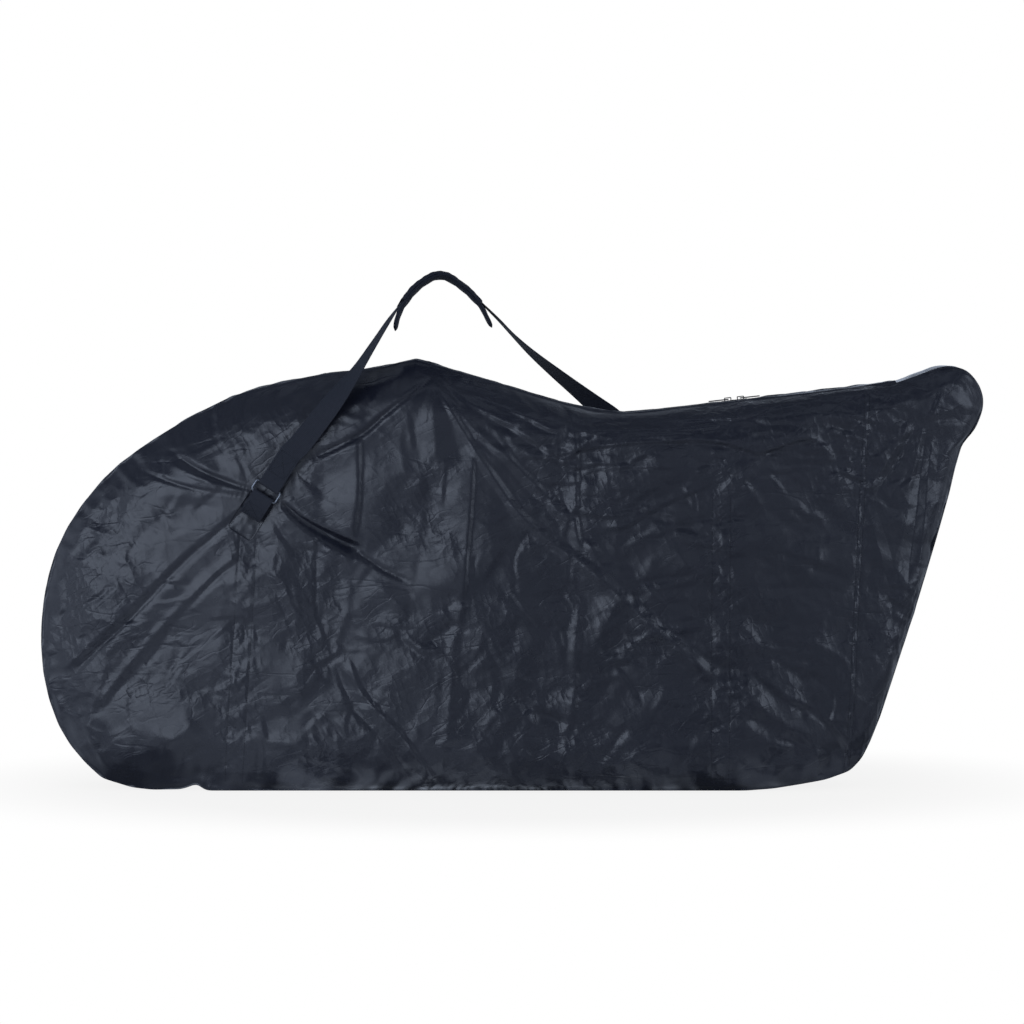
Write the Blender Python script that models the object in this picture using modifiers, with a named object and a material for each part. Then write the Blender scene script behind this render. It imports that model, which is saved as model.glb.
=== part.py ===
"""Soft bike travel bag with a shoulder strap, packed and zipped shut. Metres, +Z up.

The bag lies along X, rear wheel at -X, and the near side faces -Y. Its outline in the XZ plane is
the line where the side panels meet the gussets, and everything sewn to the bag is placed from it.
"""

import math

import bmesh
import bpy
from mathutils import Matrix, Vector
from mathutils.geometry import interpolate_bezier

# Overall sizes
BAG_LENGTH = 1.697
BAG_HEIGHT = 0.774
BAG_DEPTH = 0.240
FRONT_DEPTH = 0.150
WALL = 0.0016
GAP = 0.0003
SEAM_GAP = 0.0007
OVERRUN = 0.0005

# Outline: length share from the rear end, height share, half width as a share of the depth,
# and the steps to the next row. Each stretch ends where the next one starts.
OUTLINE_SHARES = {
    "rear": (
        (0.175, 0.000, 0.330, 1),
        (0.166, 0.016, 0.320, 1),
        (0.150, 0.002, 0.300, 1),
        (0.118, 0.000, 0.285, 1),
        (0.096, 0.005, 0.275, 1),
        (0.064, 0.026, 0.260, 3),
        (0.018, 0.150, 0.250, 3),
        (0.000, 0.337, 0.245, 4),
        (0.016, 0.553, 0.240, 3),
        (0.064, 0.716, 0.235, 3),
        (0.125, 0.822, 0.230, 2),
        (0.198, 0.910, 0.225, 2),
        (0.260, 0.950, 0.225, 1),
    ),
    "zip": (
        (0.302, 0.967, 0.225, 2),
        (0.365, 0.984, 0.225, 2),
        (0.398, 1.000, 0.225, 2),
        (0.425, 0.984, 0.220, 2),
        (0.488, 0.944, 0.215, 2),
        (0.555, 0.900, 0.210, 2),
        (0.620, 0.8756, 0.210, 1),
    ),
    "nose": (
        (0.907, 0.9465, 0.190, 2),
        (0.952, 0.983, 0.180, 2),
        (0.981, 0.977, 0.175, 3),
        (1.000, 0.912, 0.170, 3),
        (0.991, 0.838, 0.175, 2),
    ),
    "front": (
        (0.977, 0.802, 0.185, 2),
        (0.964, 0.690, 0.195, 2),
        (0.939, 0.498, 0.210, 2),
        (0.901, 0.233, 0.230, 2),
        (0.880, 0.107, 0.250, 2),
    ),
    "base": (
        (0.859, 0.044, 0.280, 2),
        (0.806, 0.014, 0.310, 2),
        (0.748, 0.000, 0.330, 1),
    ),
}
# Line that the side panels rise towards, and their rise: share of the way in, share of the rise
SPINE_SHARES = ((0.223, 0.419), (0.880, 0.674))
RISE_SHARES = ((0.0, 0.0), (0.03, 0.0), (0.10, 0.52), (0.19, 0.83), (0.32, 1.0))
TAPER_START_SHARE = 0.745
PANEL_SEAM_SHARES = ((0.875, 1.0), (0.854, 0.0))

# Zip
TOOTH_PITCH = 0.007
TOOTH_LENGTH = 0.0034
TOOTH_BEAD = 0.0013
TOOTH_WIDTH = 0.0043
TOOTH_THICKNESS = 0.0034
ZIP_LANE = 0.0018
ZIP_TAPE_WIDTH = 0.020
ZIP_TAPE_THICKNESS = 0.0010
ZIP_OPENING = 0.031
ZIP_END_MARGIN = 0.012
STOP_LENGTH = 0.007
MEETING_SHARE = 0.41

# Zip sliders and pulls
SLIDER_LENGTH = 0.022
SLIDER_WIDTH = 0.019
SLIDER_TAIL_WIDTH = 0.0155
SLIDER_PLATE = 0.0018
SLIDER_FLANGE = 0.0015
SLIDER_CLEARANCE = 0.0004
SLIDER_REST_GAP = 0.0012
POST_WIDTH = 0.0010
POST_LENGTH = 0.007
CROWN_LENGTH = 0.013
CROWN_WIDTH = 0.003
CROWN_HEIGHT = 0.0056
CROWN_BAR = 0.0016
CROWN_CHAMFER = 0.0011
PULL_LENGTH = 0.036
PULL_WIDTH = 0.011
PULL_TIP_WIDTH = 0.008
PULL_THICKNESS = 0.0020
PULL_BAR = 0.0020
PULL_WINDOW_WIDTH = 0.0050
PULL_WINDOW_LENGTH = 0.0095

# Sewn-in tapes, binding and inner pieces
BINDING_RADIUS = 0.0020
LOAD_TAPE_WIDTH = 0.038
LOAD_TAPE_THICKNESS = 0.0014
LOAD_TAPE_LIFT = 0.012
REAR_TAPE_SHARES = ((0.224, 0.60), (0.205, 0.0))
FRONT_TAPE_SHARES = ((0.719, 0.70), (0.719, 0.0))
BASE_PAD_THICKNESS = 0.004
BASE_PAD_MARGIN = 0.014
BASE_PAD_CORNER = 0.020
POCKET_WIDTH = 0.620
POCKET_HEIGHT = 0.400
POCKET_DEPTH = 0.064
POCKET_CENTRE_SHARE = 0.456
POCKET_BOTTOM_SHARE = 0.200
POCKET_WALL = 0.0012

# Strap and what carries it
STRAP_WIDTH = 0.040
STRAP_THICKNESS = 0.0020
LAYER_GAP = 0.0004
PATCH_WIDTH = 0.050
PATCH_LENGTH = 0.080
PATCH_THICKNESS = 0.0010
PATCH_CORNER = 0.006
RING_WIRE = 0.0040
RING_INNER_WIDTH = 0.045
RING_BAR_SPACING = 0.021
RING_CORNER = 0.0045
RING_PLAY = 0.0022
RING_SLACK = 0.0012
TAB_LENGTH = 0.044
LOOP_CLOSING = 0.020
STRAP_SEWN_END = 0.070
STRAP_FREE_TAIL = 0.205
NEAR_ANCHOR_SHARES = (0.240, 0.688)
FAR_ANCHOR_SHARES = (0.713, 0.672)
NEAR_LEAN = math.radians(33.0)
FAR_LEAN = math.radians(-50.4)
# Route between the ring bars: length, height and depth shares, and the quarter turns of the
# webbing's outer face from upwards towards the far side
STRAP_ROUTE_SHARES = (
    (0.3187, 0.9186, -0.545, -0.9),
    (0.347, 1.005, -0.440, -0.4),
    (0.3755, 1.088, -0.290, 0.0),
    (0.400, 1.160, -0.173, 0.0),
    (0.4225, 1.192, -0.065, 0.0),
    (0.4465, 1.172, 0.050, 0.0),
    (0.480, 1.100, 0.210, 0.0),
    (0.510, 1.040, 0.340, 0.15),
    (0.541, 0.985, 0.450, 0.5),
    (0.563, 0.947, 0.530, 0.85),
    (0.583, 0.908, 0.5577, 1.0),
)
ROUTE_STEPS = 4
ADJUSTER_PLACE = 0.135
ADJUSTER_LENGTH = 0.030
ADJUSTER_RAIL = 0.0040
ADJUSTER_BAR = 0.0030
PAD_WIDTH = 0.064
PAD_THICKNESS = 0.009
PAD_CLEARANCE = 0.0008
PAD_SHARES = (0.379, 0.476)
PAD_COVER_THICKNESS = 0.0014

TAPER_X = (TAPER_START_SHARE - 0.5) * BAG_LENGTH
HALF_DEPTH = BAG_DEPTH / 2
HALF_FRONT_DEPTH = FRONT_DEPTH / 2
UP = Vector((0, 0, 1))
ACROSS = Vector((0, 1, 0))


def clear_scene():
    for thing in list(bpy.data.objects):
        bpy.data.objects.remove(thing)


def new_collection(name):
    collection = bpy.data.collections.new(name)
    bpy.context.scene.collection.children.link(collection)
    return collection


def material(name, colour, roughness, metallic=0.0):
    made = bpy.data.materials.new(name)
    made.use_nodes = True
    shader = made.node_tree.nodes["Principled BSDF"]
    shader.inputs["Base Color"].default_value = (*colour, 1.0)
    shader.inputs["Roughness"].default_value = roughness
    shader.inputs["Metallic"].default_value = metallic
    made.diffuse_color = (*colour, 1.0)
    return made


def place(shares, depth=0):
    """Point from its length and height shares."""
    return Vector(((shares[0] - 0.5) * BAG_LENGTH, depth, shares[1] * BAG_HEIGHT))


def add_mesh(name, bm, parts, finish):
    mesh = bpy.data.meshes.new(name)
    bm.normal_update()
    bm.to_mesh(mesh)
    bm.free()
    made = bpy.data.objects.new(name, mesh)
    mesh.materials.append(finish)
    parts.objects.link(made)
    return made


def solidify(made, thickness, offset):
    """offset -1 grows the sheet behind its faces, 1 in front, 0 both ways."""
    shell = made.modifiers.new("thickness", "SOLIDIFY")
    shell.thickness = thickness
    shell.offset = offset
    shell.use_even_offset = True


# Outline and panels


def outline_rows():
    """Key rows of all stretches, in order, with the index where each stretch starts."""
    rows, starts = [], {}
    for name, stretch in OUTLINE_SHARES.items():
        starts[name] = len(rows)
        rows.extend(stretch)
    return rows, starts


def outline_stations():
    """Stations round the bag as (point at mid depth, half width), and each stretch's range."""
    rows, starts = outline_rows()
    count = len(rows)
    keys = [place(row) for row in rows]
    ways = [(keys[(i + 1) % count] - keys[i - 1]).normalized() for i in range(count)]
    stations, firsts = [], {}
    for i, row in enumerate(rows):
        for name, start in starts.items():
            if start == i:
                firsts[name] = len(stations)
        following = (i + 1) % count
        reach = (keys[following] - keys[i]).length / 3
        steps = row[3]
        curve = interpolate_bezier(
            keys[i],
            keys[i] + ways[i] * reach,
            keys[following] - ways[following] * reach,
            keys[following],
            steps + 1,
        )
        for step in range(steps):
            share = step / steps
            half = (row[2] * (1 - share) + rows[following][2] * share) * BAG_DEPTH
            stations.append((curve[step], half))
    names = list(firsts)
    ranges = {}
    for i, name in enumerate(names):
        end = firsts[names[i + 1]] if i + 1 < len(names) else len(stations)
        ranges[name] = (firsts[name], end)
    return stations, ranges


def stretch_of(stations, bounds, depth):
    """Stations of one stretch, drawn in at both ends so that sheets this deep meet at a mitre."""
    first, end = bounds
    count = len(stations)
    picked = [stations[i % count] for i in range(first, end + 1)]
    for here, beside, outside in ((0, 1, first - 1), (-1, -2, end + 1)):
        point, half = picked[here]
        way = (picked[beside][0] - point).normalized()
        before = (point - stations[outside % count][0]).normalized()
        bend = math.tan(way.angle(before) / 2)
        picked[here] = (point + way * (GAP + depth * bend), half)
    return picked


def outward_normals(points, closed=False):
    """Unit normals in the XZ plane, out of a line that runs clockwise seen from the near side."""
    count = len(points)
    normals = []
    for i in range(count):
        before = points[i - 1] if closed or i else points[0]
        after = points[(i + 1) % count] if closed or i + 1 < count else points[-1]
        way = (after - before).normalized()
        normals.append(Vector((-way.z, 0, way.x)))
    return normals


def inset(points, depth, closed=False):
    """The line moved into the bag by a depth, mitred at its corners."""
    count = len(points)
    normals = outward_normals(points, closed)
    moved = []
    for i, point in enumerate(points):
        after = points[(i + 1) % count] if closed or i + 1 < count else point * 2 - points[i - 1]
        way = (after - point).normalized()
        lean = max(normals[i].dot(Vector((-way.z, 0, way.x))), 0.5)
        moved.append(point - normals[i] * (depth / lean))
    return moved


def half_depth_at(x):
    """Half depth of the flat of the side panels, which tapers to the front."""
    past = max(0, x - TAPER_X) / (BAG_LENGTH / 2 - TAPER_X)
    return HALF_DEPTH + (HALF_FRONT_DEPTH - HALF_DEPTH) * past


def spine_point(x):
    rear, front = (place(shares) for shares in SPINE_SHARES)
    share = min(max((x - rear.x) / (front.x - rear.x), 0), 1)
    return rear.lerp(front, share)


def with_stations_at(stations, x):
    """The stations, and one more wherever the outline passes this place along the bag."""
    fuller = []
    for i, (point, half) in enumerate(stations):
        fuller.append((point, half))
        next_point, next_half = stations[(i + 1) % len(stations)]
        if (point.x - x) * (next_point.x - x) < 0:
            share = (x - point.x) / (next_point.x - point.x)
            fuller.append((point.lerp(next_point, share), half + (next_half - half) * share))
    return fuller


def side_surface(stations, side):
    """Open surface of one side, from the seam line in to the flat. side is -1 near, 1 far."""
    stations = with_stations_at(stations, TAPER_X)
    bm = bmesh.new()
    rings = []
    for inward, rise in RISE_SHARES:
        ring = []
        for point, half in stations:
            at = point.lerp(spine_point(point.x), inward)
            depth = half + (half_depth_at(at.x) - half) * rise
            ring.append(bm.verts.new((at.x, side * depth, at.z)))
        rings.append(ring)
    count = len(stations)
    for outer, inner in zip(rings, rings[1:]):
        for i in range(count):
            after = (i + 1) % count
            bm.faces.new((outer[i], outer[after], inner[after], inner[i]))
    bm.faces.new(rings[-1])
    bm.normal_update()
    slice_mesh(bm, Vector((TAPER_X, 0, 0)), Vector((1, 0, 0)))
    bmesh.ops.recalc_face_normals(bm, faces=bm.faces)
    widest = max(bm.faces, key=lambda face: face.calc_area())
    if widest.normal.y * side < 0:
        bmesh.ops.reverse_faces(bm, faces=bm.faces)
    return bm


def slice_mesh(bm, point, normal, clear=False):
    """Cuts all faces by a plane, and clears what lies in front of it if asked."""
    bmesh.ops.bisect_plane(
        bm,
        geom=bm.verts[:] + bm.edges[:] + bm.faces[:],
        dist=GAP / 10,
        plane_co=point,
        plane_no=normal,
        clear_outer=clear,
    )


def upright_plane(shares, shift):
    """Plane along Y through a line of the side view, moved forward by a shift."""
    high, low = (place(pair) for pair in shares)
    way = (high - low).normalized()
    forward = Vector((way.z, 0, -way.x))
    return low + forward * shift, forward


def side_panels(stations, parts, finish):
    for side, name in ((-1, "near"), (1, "far")):
        for piece, turn in (("main", 1), ("front", -1)):
            bm = side_surface(stations, side)
            point, forward = upright_plane(PANEL_SEAM_SHARES, -turn * GAP)
            slice_mesh(bm, point, forward * turn, clear=True)
            solidify(add_mesh(f"{name}_{piece}_panel", bm, parts, finish), WALL, -1)


def band(name, points, low, high, depth, thickness, parts, finish):
    """Strip along a stretch of the outline, between two distances across the bag."""
    bm = bmesh.new()
    line = inset(points, depth)
    pairs = []
    for i, point in enumerate(line):
        pair = [
            bm.verts.new((point.x, low[i], point.z)),
            bm.verts.new((point.x, high[i], point.z)),
        ]
        pairs.append(pair)
    for one, two in zip(pairs, pairs[1:]):
        bm.faces.new((one[0], two[0], two[1], one[1]))
    solidify(add_mesh(name, bm, parts, finish), thickness, -1)


def gussets(stations, ranges, parts, cloth, tough):
    for name, node, finish in (
        ("rear", "rear_gusset", cloth),
        ("nose", "nose_gusset", cloth),
        ("front", "front_gusset", cloth),
        ("base", "base_panel", tough),
    ):
        picked = stretch_of(stations, ranges[name], WALL)
        points = [point for point, _ in picked]
        edges = [half - WALL - SEAM_GAP for _, half in picked]
        band(node, points, [-edge for edge in edges], edges, 0, WALL, parts, finish)
    picked = stretch_of(stations, ranges["zip"], WALL)
    points = [point for point, _ in picked]
    edges = [half - WALL - SEAM_GAP for _, half in picked]
    lips = [ZIP_OPENING / 2] * len(points)
    band("top_gusset_far", points, lips, edges, 0, WALL, parts, cloth)
    lips = [-lip for lip in lips]
    edges = [-edge for edge in edges]
    band("top_gusset_near", points, edges, lips, 0, WALL, parts, cloth)


def bindings(stations, parts, finish):
    """Binding of the inner seam: a tube in the corner of panel and gusset, all the way round."""
    points = inset([point for point, _ in stations], WALL + GAP + BINDING_RADIUS, closed=True)
    for side, name in ((-1, "near"), (1, "far")):
        curve = bpy.data.curves.new(f"seam_binding_{name}", "CURVE")
        curve.dimensions = "3D"
        curve.bevel_depth = BINDING_RADIUS
        curve.bevel_resolution = 0
        spline = curve.splines.new("POLY")
        spline.points.add(len(points) - 1)
        spline.use_cyclic_u = True
        for i, point in enumerate(points):
            across = side * (stations[i][1] - WALL - SEAM_GAP - BINDING_RADIUS)
            spline.points[i].co = (point.x, across, point.z, 1)
        made = bpy.data.objects.new(curve.name, curve)
        curve.materials.append(finish)
        parts.objects.link(made)


# Load tapes, base pad and wheel pocket


def load_tapes(stations, parts, finish):
    """Webbing sewn inside each side panel, down to the base seam, and across the base."""
    base_half = OUTLINE_SHARES["rear"][0][2] * BAG_DEPTH
    for name, shares in (("rear", REAR_TAPE_SHARES), ("front", FRONT_TAPE_SHARES)):
        for side, where in ((-1, "near"), (1, "far")):
            bm = side_surface(stations, side)
            for turn in (-1, 1):
                point, forward = upright_plane(shares, turn * LOAD_TAPE_WIDTH / 2)
                slice_mesh(bm, point, forward * turn, clear=True)
            slice_mesh(bm, place(shares[0]), UP, clear=True)
            slice_mesh(bm, UP * LOAD_TAPE_LIFT, -UP, clear=True)
            bm.normal_update()
            moves = [
                vert.normal * (WALL + GAP) * vert.calc_shell_factor() for vert in bm.verts
            ]
            for vert, move in zip(bm.verts, moves):
                vert.co -= move
            made = add_mesh(f"load_tape_{name}_{where}", bm, parts, finish)
            solidify(made, LOAD_TAPE_THICKNESS, -1)
        reach = base_half - WALL - 2 * GAP - 2 * BINDING_RADIUS - GAP
        middle = place(shares[1], 0).x
        size = (LOAD_TAPE_WIDTH, 2 * reach, LOAD_TAPE_THICKNESS)
        height = WALL + GAP + LOAD_TAPE_THICKNESS / 2
        add_mesh(f"load_tape_{name}_base", box(size, (middle, 0, height)), parts, finish)


def box(size, centre):
    bm = bmesh.new()
    bmesh.ops.create_cube(bm, size=1, matrix=Matrix.LocRotScale(centre, None, size))
    return bm


def rounded_rectangle(width, height, corner, steps=3):
    """Outline of a rectangle round the origin, with round corners."""
    outline = []
    for quarter, (across, along) in enumerate(((1, 1), (-1, 1), (-1, -1), (1, -1))):
        middle = (across * (width / 2 - corner), along * (height / 2 - corner))
        for step in range(steps + 1):
            angle = (quarter + step / steps) * math.pi / 2
            outline.append(
                (middle[0] + corner * math.cos(angle), middle[1] + corner * math.sin(angle))
            )
    return outline


def plate(outlines, thickness):
    """Flat plate round the XY plane, from an outline and any holes in it."""
    curve = bpy.data.curves.new("plate", "CURVE")
    curve.dimensions = "2D"
    curve.fill_mode = "BOTH"
    curve.extrude = thickness / 2
    for outline in outlines:
        spline = curve.splines.new("POLY")
        spline.points.add(len(outline) - 1)
        spline.use_cyclic_u = True
        for point, (x, y) in zip(spline.points, outline):
            point.co = (x, y, 0, 1)
    guide = bpy.data.objects.new("plate", curve)
    bpy.context.scene.collection.objects.link(guide)
    graph = bpy.context.evaluated_depsgraph_get()
    mesh = bpy.data.meshes.new_from_object(guide.evaluated_get(graph))
    bm = bmesh.new()
    bm.from_mesh(mesh)
    bmesh.ops.remove_doubles(bm, verts=bm.verts, dist=GAP / 10)
    bmesh.ops.recalc_face_normals(bm, faces=bm.faces)
    bpy.data.meshes.remove(mesh)
    bpy.data.objects.remove(guide)
    bpy.data.curves.remove(curve)
    return bm


def base_pad(parts, finish):
    """Foam sheet that lies on the tapes across the base."""
    rear = place(OUTLINE_SHARES["rear"][0]).x + BASE_PAD_MARGIN
    front = place(OUTLINE_SHARES["base"][-1]).x - BASE_PAD_MARGIN
    width = 2 * (OUTLINE_SHARES["rear"][0][2] * BAG_DEPTH - BASE_PAD_MARGIN)
    bm = plate([rounded_rectangle(front - rear, width, BASE_PAD_CORNER)], BASE_PAD_THICKNESS)
    height = WALL + GAP + LOAD_TAPE_THICKNESS + GAP + BASE_PAD_THICKNESS / 2
    bmesh.ops.translate(bm, verts=bm.verts, vec=((front + rear) / 2, 0, height))
    add_mesh("base_pad", bm, parts, finish)


def wheel_pocket(parts, finish):
    """Pocket for the front wheel: a sheet with a round bottom, and a wall to the far panel."""
    radius = POCKET_WIDTH / 2
    centre = (POCKET_CENTRE_SHARE - 0.5) * BAG_LENGTH
    bottom = POCKET_BOTTOM_SHARE * BAG_HEIGHT
    drop = min(radius, POCKET_HEIGHT)
    line = [(centre + radius, bottom + POCKET_HEIGHT)]
    steps = 16
    for step in range(steps + 1):
        angle = -math.pi * step / steps
        line.append(
            (centre + radius * math.cos(angle), bottom + drop + drop * math.sin(angle))
        )
    line.append((centre - radius, bottom + POCKET_HEIGHT))
    far = HALF_DEPTH - WALL - GAP
    near = far - POCKET_DEPTH
    bm = bmesh.new()
    front = [bm.verts.new((x, near, z)) for x, z in line]
    back = [bm.verts.new((x, far, z)) for x, z in line]
    bm.faces.new(front)
    for i in range(len(line) - 1):
        bm.faces.new((front[i], front[i + 1], back[i + 1], back[i]))
    bmesh.ops.recalc_face_normals(bm, faces=bm.faces)
    solidify(add_mesh("wheel_pocket", bm, parts, finish), POCKET_WALL, 0)


# Zip


def zip_lengths(points):
    """Distance along a line at each of its points."""
    marks = [0]
    for one, two in zip(points, points[1:]):
        marks.append(marks[-1] + (two - one).length)
    return marks


def along(points, marks, distance):
    """Point and direction at a distance along a line."""
    for i in range(len(marks) - 1):
        if distance <= marks[i + 1] or i == len(marks) - 2:
            share = (distance - marks[i]) / (marks[i + 1] - marks[i])
            way = (points[i + 1] - points[i]).normalized()
            return points[i].lerp(points[i + 1], share), way
    return points[-1], (points[-1] - points[-2]).normalized()


def frame_at(point, way):
    """Axes on the zip: X along it, Y across the bag, Z out of the bag."""
    normal = Vector((-way.z, 0, way.x))
    axes = Matrix((way, ACROSS, normal)).transposed().to_4x4()
    return Matrix.Translation(point) @ axes


def chain_depth():
    """Depth of the middle of the tape and teeth under the outer face of the gusset."""
    return WALL + GAP + ZIP_TAPE_THICKNESS / 2


def comb(side, middle, marks, start, count):
    """Row of teeth on its bead, as an open sheet halfway up the teeth."""
    root = side * (ZIP_LANE / 2 + TOOTH_WIDTH - TOOTH_BEAD)
    outer = side * (ZIP_LANE / 2 + TOOTH_WIDTH)
    tip = side * ZIP_LANE / 2
    slope = (TOOTH_PITCH - TOOTH_LENGTH) / 4
    bm = bmesh.new()

    def corner(distance, across):
        point, _ = along(middle, marks, distance)
        return bm.verts.new(point + ACROSS * across)

    ends = corner(start, outer), corner(start, root)
    for i in range(count):
        at = start + i * TOOTH_PITCH
        tooth = (TOOTH_PITCH - TOOTH_LENGTH) / 2
        row = [
            corner(at + tooth - slope, root),
            corner(at + tooth, tip),
            corner(at + tooth + TOOTH_LENGTH, tip),
        ]
        following = corner(at + TOOTH_PITCH, outer), corner(at + TOOTH_PITCH, root)
        bm.faces.new((ends[0], following[0], following[1], *reversed(row), ends[1]))
        ends = following
    bmesh.ops.recalc_face_normals(bm, faces=bm.faces)
    return bm


def zip_chain(stations, ranges, parts, cloth, plastic):
    picked = stretch_of(stations, ranges["zip"], WALL + GAP + ZIP_TAPE_THICKNESS)
    points = [point for point, _ in picked]
    inner = ZIP_LANE / 2 + TOOTH_WIDTH + GAP
    outer = inner + ZIP_TAPE_WIDTH
    for side, name in ((-1, "near"), (1, "far")):
        low = [min(side * inner, side * outer)] * len(points)
        high = [max(side * inner, side * outer)] * len(points)
        band(f"zip_tape_{name}", points, low, high, WALL + GAP, ZIP_TAPE_THICKNESS, parts, cloth)
    middle = inset(points, chain_depth())
    marks = zip_lengths(middle)
    start = ZIP_END_MARGIN + STOP_LENGTH + GAP
    count = int((marks[-1] - 2 * start - TOOTH_PITCH / 2) / TOOTH_PITCH)
    for side, name, lag in ((-1, "near", 0), (1, "far", TOOTH_PITCH / 2)):
        bm = comb(side, middle, marks, start + lag, count)
        solidify(add_mesh(f"zip_teeth_{name}", bm, parts, plastic), TOOTH_THICKNESS, 0)
    across = ZIP_LANE + 2 * TOOTH_WIDTH
    for name, distance in (
        ("rear", ZIP_END_MARGIN + STOP_LENGTH / 2),
        ("front", marks[-1] - ZIP_END_MARGIN - STOP_LENGTH / 2),
    ):
        bm = box((STOP_LENGTH, across, TOOTH_THICKNESS), (0, 0, 0))
        bmesh.ops.transform(
            bm, verts=bm.verts, matrix=frame_at(*along(middle, marks, distance))
        )
        add_mesh(f"zip_stop_{name}", bm, parts, plastic)


def slider_shell(turn):
    """One plate of the slider with its two flanges, narrower at the tail. turn -1 is below."""
    face = TOOTH_THICKNESS / 2 + SLIDER_CLEARANCE
    lip = ZIP_TAPE_THICKNESS / 2 + SLIDER_CLEARANCE
    bm = bmesh.new()
    rings = []
    for along_share, width in (
        (-0.5, SLIDER_WIDTH),
        (-0.1, SLIDER_WIDTH),
        (0.3, SLIDER_TAIL_WIDTH),
        (0.5, SLIDER_TAIL_WIDTH),
    ):
        half = width / 2
        inside = half - SLIDER_FLANGE
        section = (
            (-half, face + SLIDER_PLATE),
            (half, face + SLIDER_PLATE),
            (half, lip),
            (inside, lip),
            (inside, face),
            (-inside, face),
            (-inside, lip),
            (-half, lip),
        )
        x = along_share * SLIDER_LENGTH
        rings.append([bm.verts.new((x, y, turn * z)) for y, z in section])
    for one, two in zip(rings, rings[1:]):
        for i in range(len(one)):
            after = (i + 1) % len(one)
            bm.faces.new((one[i], one[after], two[after], two[i]))
    bm.faces.new(rings[0])
    bm.faces.new(rings[-1])
    bmesh.ops.recalc_face_normals(bm, faces=bm.faces)
    return bm


def pull_axis_height():
    """Height of the pull's bar over the middle of the chain: halfway up the crown's opening."""
    plate_top = TOOTH_THICKNESS / 2 + SLIDER_CLEARANCE + SLIDER_PLATE
    return plate_top + (CROWN_HEIGHT - CROWN_BAR) / 2


def crown():
    """Arch on the slider that holds the pull's bar."""
    half, high, leg = CROWN_LENGTH / 2, CROWN_HEIGHT, CROWN_BAR
    chamfer = CROWN_CHAMFER
    opening = high - leg
    outline = [
        (-half, -OVERRUN),
        (-half + leg, -OVERRUN),
        (-half + leg, opening),
        (half - leg, opening),
        (half - leg, -OVERRUN),
        (half, -OVERRUN),
        (half, high - chamfer),
        (half - chamfer, high),
        (-half + chamfer, high),
        (-half, high - chamfer),
    ]
    bm = plate([outline], CROWN_WIDTH)
    upright = Matrix.Rotation(math.pi / 2, 4, "X")
    plate_top = TOOTH_THICKNESS / 2 + SLIDER_CLEARANCE + SLIDER_PLATE
    bmesh.ops.transform(bm, verts=bm.verts, matrix=Matrix.Translation(UP * plate_top) @ upright)
    return bm


def unite(first, others, cutters):
    """Joins meshes into the first object with Boolean unions."""
    for i, bm in enumerate(others):
        tool = add_mesh(f"{first.name}_tool_{i}", bm, cutters, first.data.materials[0])
        tool.hide_render = True
        tool.display_type = "WIRE"
        joined = first.modifiers.new(f"union_{i}", "BOOLEAN")
        joined.operation = "UNION"
        joined.solver = "EXACT"
        joined.object = tool
        tool.parent = first


def pull_outline():
    """Pull seen from above, its bar at the origin and its tip towards +X, and its window."""
    half, tip = PULL_WIDTH / 2, PULL_TIP_WIDTH / 2
    end = PULL_LENGTH - PULL_BAR / 2
    outline = [(-PULL_BAR / 2, -half), (PULL_WINDOW_LENGTH + PULL_BAR / 2, -half)]
    steps = 6
    for step in range(steps + 1):
        angle = math.pi * (step / steps - 0.5)
        outline.append((end - tip + tip * math.cos(angle), tip * math.sin(angle)))
    outline += [(PULL_WINDOW_LENGTH + PULL_BAR / 2, half), (-PULL_BAR / 2, half)]
    side = PULL_WINDOW_WIDTH / 2
    window = [
        (PULL_BAR / 2, -side),
        (PULL_WINDOW_LENGTH, -side),
        (PULL_WINDOW_LENGTH, side),
        (PULL_BAR / 2, side),
    ]
    return [outline, window]


def zip_run(stations, ranges):
    """Straight run of the zip that the sliders travel: its start, direction and length."""
    first, end = ranges["zip"]
    start, finish = stations[end - 1][0], stations[end % len(stations)][0]
    way = (finish - start).normalized()
    normal = Vector((-way.z, 0, way.x))
    return start - normal * chain_depth(), way, (finish - start).length


def sliders(stations, ranges, parts, cutters, metal):
    start, way, length = zip_run(stations, ranges)
    meeting = start + way * (MEETING_SHARE * length)
    post_height = TOOTH_THICKNESS + 2 * SLIDER_CLEARANCE + 2 * OVERRUN
    for name, turn in (("rear", -1), ("front", 1)):
        axes = frame_at(meeting, way)
        if turn < 0:
            axes = axes @ Matrix.Rotation(math.pi, 4, "Z")
        place_out = (SLIDER_LENGTH + SLIDER_REST_GAP) / 2
        spot = axes @ Matrix.Translation((place_out, 0, 0))
        body = add_mesh(f"slider_{name}", slider_shell(1), parts, metal)
        body.matrix_world = spot
        post_middle = (POST_LENGTH - SLIDER_LENGTH) / 2 + SLIDER_FLANGE
        post = box((POST_LENGTH, POST_WIDTH, post_height), (post_middle, 0, 0))
        unite(body, [post, slider_shell(-1), crown()], cutters)
        pull = add_mesh(f"pull_{name}", plate(pull_outline(), PULL_THICKNESS), parts, metal)
        pull.matrix_world = spot @ Matrix.Translation(UP * pull_axis_height())


# Strap, rings, tabs, adjuster and pad


def ribbon(name, path, width, thickness, parts, finish):
    """Webbing along a path of (point, direction of the width)."""
    bm = bmesh.new()
    pairs = []
    for point, side in path:
        pairs.append((bm.verts.new(point - side * width / 2), bm.verts.new(point + side * width / 2)))
    for one, two in zip(pairs, pairs[1:]):
        bm.faces.new((one[0], two[0], two[1], one[1]))
    made = add_mesh(name, bm, parts, finish)
    solidify(made, thickness, 0)
    return made


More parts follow.
